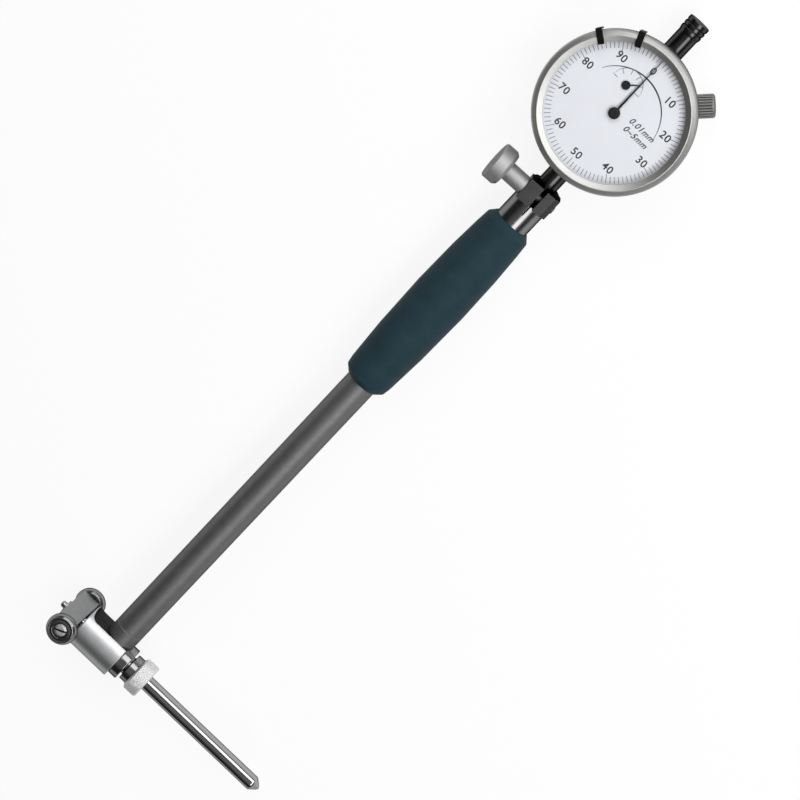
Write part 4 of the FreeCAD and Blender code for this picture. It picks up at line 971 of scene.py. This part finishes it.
class GAUGE_OT_clamp(bpy.types.Operator):
    """Split clamp, its thumb screw, and the indicator's stem and top cap"""
    bl_idname = "gauge.clamp"
    bl_label = "Clamp and stem"

    def execute(self, context):
        sizes = context.scene.gauge_handle
        chrome = dark_chrome("dark chrome", TUBE, sizes.dark_chrome)
        black_chrome = dark_chrome("black chrome and painted shade", TUBE, sizes.black_chrome)
        nickel = matte_nickel("matte nickel, thumb screw", THUMB_SCREW, sizes.screw_colour)
        thread = dark_steel("oiled thread", THUMB_SCREW)
        clamp = dressed("clamp", "stem_holder", chrome, 0.22 * MM)
        # the clamp's ears stand well out from the sleeve below them; from the ears up the clamp takes a darker
        # copy of the sleeve's chrome, which is painted shade on the same plated piece
        past_sleeve = 8 * MM
        ears = min(corner.z for corner in corners_of("stem_holder", TUBE) if corner.xy.length > past_sleeve)
        repaint(clamp, TUBE, black_chrome, lambda middle: middle.z > ears - 0.05 * MM)
        settle(clamp, "frame", "dark_chrome", "stem_holder")

        low, high, radius = reach("clamp_screw", THUMB_SCREW)
        step = high - 5.9 * MM
        seat = step - 8.2 * MM
        shoulder, thread_radius = 3.55 * MM, 1.5 * MM
        screw = turned("thumb_screw", [
            (0, low), (thread_radius, low, 0.3 * MM), (thread_radius, seat), (shoulder, seat, 0.2 * MM),
            (shoulder, step), (radius - 0.9 * MM, step, 0.2 * MM), (radius, step + 1.2 * MM, 0.4 * MM),
            (radius, high - 0.5 * MM, 0.2 * MM), (radius - 0.5 * MM, high, 0.2 * MM), (0, high)],
            THUMB_SCREW, nickel)
        repaint(screw, THUMB_SCREW, thread,
                lambda middle: middle.xy.length < thread_radius + 0.1 * MM and middle.z < seat)
        settle(screw, "clamp_screw", "matte_nickel", "clamp_screw")

        low, high, radius = reach("indicator_stem", TUBE)
        bore = bore_of("indicator_stem", TUBE)
        stem = turned(
            "stem", [(bore, low), (radius, low, 0.3 * MM), (radius, high), (bore, high)], TUBE, black_chrome)
        settle(stem, "indicator", "dark_chrome", "indicator_stem")

        low, high, radius = reach("top_cap", TUBE)
        bore = min(corner.xy.length for corner in corners_of("top_cap", TUBE) if corner.xy.length > 0.5 * MM)
        neck = radius - 0.3 * MM
        step = high - 5.3 * MM
        groove = 0.35 * MM
        grooves = []
        for middle in (step + 1.5 * MM, step + 3.3 * MM):
            grooves += [(radius, middle - 0.35 * MM, 0.1 * MM), (radius - groove, middle, 0.1 * MM),
                        (radius, middle + 0.35 * MM, 0.1 * MM)]
        cap = turned("cap", [
            (bore, low), (neck, low), (neck, step - 0.8 * MM),
            (radius, step + 0.2 * MM, 0.3 * MM)] + grooves + [
            (radius, high, 0.35 * MM), (0.1 * MM, high), (0.1 * MM, high - 2 * MM), (bore, high - 2 * MM)],
            TUBE, black_chrome)
        settle(cap, "indicator", "dark_chrome", "top_cap")
        return {"FINISHED"}


# ---------------------------------------------------------------- case and bezel

class GAUGE_OT_case(bpy.types.Operator):
    """Case, back cover with its screws, bezel, crystal, knob and limit markers"""
    bl_idname = "gauge.case"
    bl_label = "Case and bezel"

    def execute(self, context):
        sizes = context.scene.gauge_dial
        plated = satin_chrome("satin chrome, turned round the dial", DIAL, sizes.rim_colour)
        enamelled = enamel("black enamel", DIAL, sizes.black, 0.5, 0.1)
        settle(
            dressed("case", "indicator_case", plated, 0.2 * MM), "indicator", "bezel_chrome",
            "indicator_case")
        self.cover(plated)
        self.bezel(plated, sizes)
        self.knob(sizes)
        for side in ("right", "left"):
            marker = dressed("marker_" + side, "limit_marker_" + side, enamelled, 0.12 * MM)
            settle(marker, "marker_" + side, "marker_black", "limit_marker_" + side)
        return {"FINISHED"}

    def cover(self, plated):
        """The back cover and its four slotted screws."""
        low = reach("back_cover", DIAL)[0]
        settle(dressed("cover", "back_cover", plated, 0.25 * MM), "indicator", "cover_steel", "back_cover")
        corners = corners_of("cover_screw_1", DIAL)
        middle = sum(corners, Vector()) / len(corners)
        screw_radius = max((corner.xy - middle.xy).length for corner in corners)
        floor_level = max(corner.z for corner in corners)
        back = DIAL @ Matrix.Rotation(math.pi, 4, "X")
        steel = matte_nickel("blackened screw steel", back, linear("#6e6e6e"))
        screw = turned("screw_blank", [
            (0, -floor_level), (screw_radius, -floor_level), (screw_radius, -low - 0.05 * MM, 0.1 * MM),
            (screw_radius * 0.55, -low, 0.05 * MM), (screw_radius * 0.3, -low - 0.3 * MM),
            (0, -low - 0.3 * MM)], Matrix.Identity(4), steel, 24)
        screws = grown("cover_screws", copies_tree(), {
            "Piece": screw, "Count": 4, "Radius": middle.xy.length, "First": math.pi / 4,
            "Twist": SCREW_TWIST, "Material": steel}, back)
        bpy.data.objects.remove(screw)
        settle(screws, "indicator", "screw_steel", *["cover_screw_%d" % number for number in (1, 2, 3, 4)])

    def bezel(self, plated, sizes):
        """The bezel with its toothed edge, and the crystal."""
        low, high, radius = reach("bezel", DIAL)
        glass_low, glass_high, seat = reach("crystal", DIAL)
        shelf = reach("dial_ring", DIAL)[0]
        case = reach("indicator_case", DIAL)[2]
        band = radius - 0.5 * MM
        ridge = radius - 2.1 * MM
        opening = seat - 1.0 * MM
        bezel = turned("rim", [
            (case + 0.08 * MM, low), (band, low, 0.3 * MM), (band, low + 2.7 * MM),
            (radius, low + 3.0 * MM, 0.3 * MM), (radius, high - 1.3 * MM, 1.4 * MM), (ridge, high, 0.5 * MM),
            (opening, glass_high + 0.1 * MM, 0.1 * MM), (opening, glass_high), (seat, glass_high),
            (seat, shelf), (case + 0.08 * MM, shelf)],
            DIAL, plated, 192)
        settle(bezel, "bezel", "bezel_chrome", "bezel")
        teeth = grown("rim_teeth", ribs_tree(), {
            "Count": sizes.rim_teeth, "Radius": band, "Height": low + 1.5 * MM, "Length": 2.2 * MM,
            "Width": 0.62 * MM, "Material": plated}, DIAL)
        settle(teeth, "bezel", "bezel_chrome")
        clear = clear_acrylic("cast acrylic", DIAL)
        crystal = turned("glass", [
            (0, glass_low), (seat, glass_low), (seat, glass_high - 0.1 * MM), (seat - 0.1 * MM, glass_high),
            (0, glass_high)], DIAL, clear, 96)
        settle(crystal, "bezel", "crystal_clear", "crystal")

    def knob(self, sizes):
        """The bezel's clamping knob with its ribs."""
        low, high, radius = reach("bezel_knob", KNOB)
        nickel = matte_nickel("satin nickel, ribbed", KNOB, shaded(sizes.rim_colour, 0.7))
        shank = bore_of("bezel_knob", KNOB) + 1.46 * MM
        head = high - 6.8 * MM
        core = radius - 0.35 * MM
        knob = turned("knob", [
            (0, low), (shank, low), (shank, head), (core, head, 0.3 * MM), (core, high, 0.5 * MM), (0, high)],
            KNOB, nickel, 96)
        # the knob's core between the ribs is painted dark: painted shade in the grooves
        groove = dark_steel("painted shade between ribs", KNOB)
        repaint(
            knob, KNOB, groove,
            lambda middle: middle.xy.length > core - 0.02 * MM and head < middle.z < high - 0.5 * MM)
        settle(knob, "bezel_knob", "matte_nickel", "bezel_knob")
        ribs = grown("knob_ribs", ribs_tree(), {
            "Count": sizes.knob_ribs, "Radius": core, "Height": (head + high) / 2,
            "Length": high - head - 0.9 * MM, "Width": 0.56 * MM, "Material": nickel}, KNOB)
        settle(ribs, "bezel_knob", "matte_nickel")


# ---------------------------------------------------------------- dial

def print_level():
    """Height of the print on the dial, above the enamel."""
    return reach("dial_ring", DIAL)[1] + 0.01 * MM


def written(name, words, size, spot, material, bold=0.0, slant=0.0):
    """Flat letters laid on the dial, their middle at a spot."""
    curve = bpy.data.curves.new(name, "FONT")
    curve.body = words
    curve.size = size
    curve.align_x, curve.align_y = "CENTER", "CENTER"
    curve.extrude = PRINT / 2
    curve.offset = bold
    curve.shear = slant
    curve.space_character = 1.1
    letters = bpy.data.objects.new(name, curve)
    bpy.context.scene.collection.objects.link(letters)
    mesh = evaluated(letters)
    bpy.data.objects.remove(letters)
    mesh.transform(DIAL @ Matrix.Translation((spot[0], spot[1], print_level())))
    return new_piece(name, mesh, material)


def joined(name, pieces):
    """Several pieces made one."""
    work = bmesh.new()
    for piece in pieces:
        work.from_mesh(piece.data)
    mesh = bpy.data.meshes.new(name)
    work.to_mesh(mesh)
    work.free()
    material = pieces[0].data.materials[0]
    for piece in pieces:
        bpy.data.objects.remove(piece)
    return new_piece(name, mesh, material)


def printed_arc(name, middle, radius, start, finish, width, material):
    """A printed line along part of a circle, thickest at its own middle; angles are clockwise from the top."""
    work = bmesh.new()
    steps = 60
    rows = []
    for step in range(steps + 1):
        part = step / steps
        turn = start + (finish - start) * part
        half = width * (0.25 + 0.75 * math.sin(math.pi * part)) / 2
        ring = []
        for reach_out, level in ((-half, 0), (half, 0), (half, PRINT), (-half, PRINT)):
            at = radius + reach_out
            ring.append(work.verts.new((middle[0] + at * math.sin(turn), middle[1] + at * math.cos(turn),
                                        print_level() - PRINT / 2 + level)))
        rows.append(ring)
    for first, second in zip(rows, rows[1:]):
        for side in range(4):
            work.faces.new((first[side - 1], first[side], second[side], second[side - 1]))
    work.faces.new(rows[0])
    work.faces.new(rows[-1])
    mesh = outward_mesh(name, work, DIAL)
    return new_piece(name, mesh, material)


class GAUGE_OT_dial(bpy.types.Operator):
    """Dial plates with their graduation, numbers and words, and the hands"""
    bl_idname = "gauge.dial"
    bl_label = "Dial and hands"

    def execute(self, context):
        sizes = context.scene.gauge_dial
        white = enamel("dial enamel", DIAL, sizes.face, 0.42)
        ink = printed_ink("dial ink", DIAL, sizes.ink)
        grey_ink = printed_ink("graduation ink", DIAL, sizes.tick_ink)
        black = enamel("blackened hand", DIAL, sizes.black, 0.45, 0.1)
        self.plates(white)

        marks = grown("graduation", graduation_tree(), {
            "Count": sizes.divisions, "Every": 10, "Radius": sizes.tick_outer, "Height": print_level(),
            "Short": sizes.tick_length, "Long": sizes.tick_long, "Width": sizes.tick_width,
            "Thickness": PRINT, "First": 0.0, "Step": math.tau / sizes.divisions, "Material": grey_ink},
            DIAL)
        settle(marks, "bezel", "hand_black")
        numbers = []
        for value in range(0, 100, 10):
            turn = math.tau * value / 100
            spot = (sizes.number_circle * math.sin(turn), sizes.number_circle * math.cos(turn))
            numbers.append(written("number", str(value), sizes.number_size, spot, ink, 0.07 * MM))
        settle(joined("numbers", numbers), "bezel", "hand_black")

        words = [written("words", line, 3.1 * MM, (11.0 * MM, level * MM), ink, 0.05 * MM, 0.3)
                 for line, level in (("0.01mm", 2.1), ("0~5mm", -1.3))]
        settle(joined("dial_words", words), "indicator", "hand_black")
        sweep = printed_arc(
            "sweep_line", (0, 0), 16.3 * MM, math.radians(-59), math.radians(83), 0.55 * MM, ink)
        settle(sweep, "indicator", "hand_black")
        counter = self.counter_middle()
        counter_radius = 5.9 * MM
        arc = printed_arc(
            "counter_arc", counter, counter_radius, math.radians(-90), math.radians(90), 0.35 * MM, grey_ink)
        settle(arc, "indicator", "hand_black")
        marks = grown("counter_marks", graduation_tree(), {
            "Count": 6, "Every": 1, "Radius": counter_radius, "Height": print_level(),
            "Short": 1.7 * MM, "Long": 1.9 * MM, "Width": 0.28 * MM, "Thickness": PRINT,
            "First": math.radians(-90), "Step": math.radians(36), "Material": grey_ink},
            DIAL @ Matrix.Translation((counter[0], counter[1], 0)))
        settle(marks, "indicator", "hand_black")

        settle(dressed("needle", "pointer", black, 0.06 * MM), "pointer", "hand_black", "pointer")
        settle(
            dressed("small_hand", "counter_hand", black, 0.06 * MM), "rack_wheel", "hand_black",
            "counter_hand")
        high = reach("pointer", DIAL)[1]
        hub = turned("needle_hub", [
            (0, high - 0.02 * MM), (2.1 * MM, high - 0.02 * MM), (2.1 * MM, high + 0.15 * MM, 0.1 * MM),
            (1.2 * MM, high + 0.5 * MM, 0.4 * MM), (0.7 * MM, high + 0.5 * MM), (0.7 * MM, high + 0.35 * MM),
            (0, high + 0.35 * MM)], DIAL, black, 64)
        settle(hub, "pointer", "hand_black")
        self.movement()
        return {"FINISHED"}

    def plates(self, white):
        """The turning ring and the fixed centre, which reaches a hair under the ring."""
        low, high, outer = reach("dial_ring", DIAL)
        seam = bore_of("dial_ring", DIAL)
        ring = turned(
            "dial_plate_ring", [(seam, low), (outer, low), (outer, high), (seam, high)], DIAL, white, 192)
        settle(ring, "bezel", "dial_white", "dial_ring")
        centre = turned("dial_plate_centre", [
            (0, low), (seam + 0.1 * MM, low), (seam + 0.1 * MM, high - 0.003 * MM), (0, high - 0.003 * MM)],
            DIAL, white, 192)
        settle(centre, "indicator", "dial_white", "dial_centre")

    def counter_middle(self):
        """The counter's middle on the dial, at the rack wheel's arbor."""
        arbor = DIAL.inverted() @ Vector(joint("rack_wheel_turn")["pos_m"])
        return arbor.x, arbor.y

    def movement(self):
        """The pieces inside the case, in brass and steel."""
        brass = turned_metal("lacquered brass", DIAL, linear("#c9a45c"), (0.25, 0.38), 0.2 * MM, 0.002 * MM)
        steel = turned_metal("pinion steel", DIAL, linear("#b4b6b8"), (0.18, 0.30), 0.15 * MM, 0.002 * MM)
        for node in ("movement_base", "movement_bridge", "movement_front", "rack_wheel",
                     "pillar_1", "pillar_2", "pillar_3"):
            finish_node(node, brass)
        for node in (
            "centre_pinion", "spindle", "spindle_point", "spring_arm", "spring_post", "return_spring"):
            finish_node(node, steel)


# ---------------------------------------------------------------- add-on

class GAUGE_PT_panel(bpy.types.Panel):
    """Lists the pieces of the gauge"""
    bl_idname = "GAUGE_PT_panel"
    bl_label = "Dial bore gauge"
    bl_space_type = "VIEW_3D"
    bl_region_type = "UI"
    bl_category = "Bore gauge"

    def draw(self, context):
        for operator in OPERATORS:
            self.layout.operator(operator.bl_idname)
        for name in GROUPS:
            group = getattr(context.scene, name)
            box = self.layout.box()
            for item in group.bl_rna.properties:
                if item.identifier not in ("name", "rna_type"):
                    box.prop(group, item.identifier)


GROUPS = {"gauge_stage": StageProperties, "gauge_head": HeadProperties, "gauge_handle": HandleProperties,
          "gauge_dial": DialProperties}
OPERATORS = (GAUGE_OT_stage, GAUGE_OT_head, GAUGE_OT_bridge, GAUGE_OT_handle, GAUGE_OT_clamp, GAUGE_OT_case,
             GAUGE_OT_dial)


def register():
    for item in (*GROUPS.values(), *OPERATORS, GAUGE_PT_panel):
        bpy.utils.register_class(item)
    for name, group in GROUPS.items():
        setattr(bpy.types.Scene, name, PointerProperty(type=group))


def unregister():
    for name in GROUPS:
        delattr(bpy.types.Scene, name)
    for item in reversed((*GROUPS.values(), *OPERATORS, GAUGE_PT_panel)):
        bpy.utils.unregister_class(item)


def main():
    register()
    bpy.ops.gauge.stage()
    bpy.ops.gauge.head()
    bpy.ops.gauge.bridge()
    bpy.ops.gauge.handle()
    bpy.ops.gauge.clamp()
    bpy.ops.gauge.case()
    bpy.ops.gauge.dial()


if __name__ == "__main__":
    main()
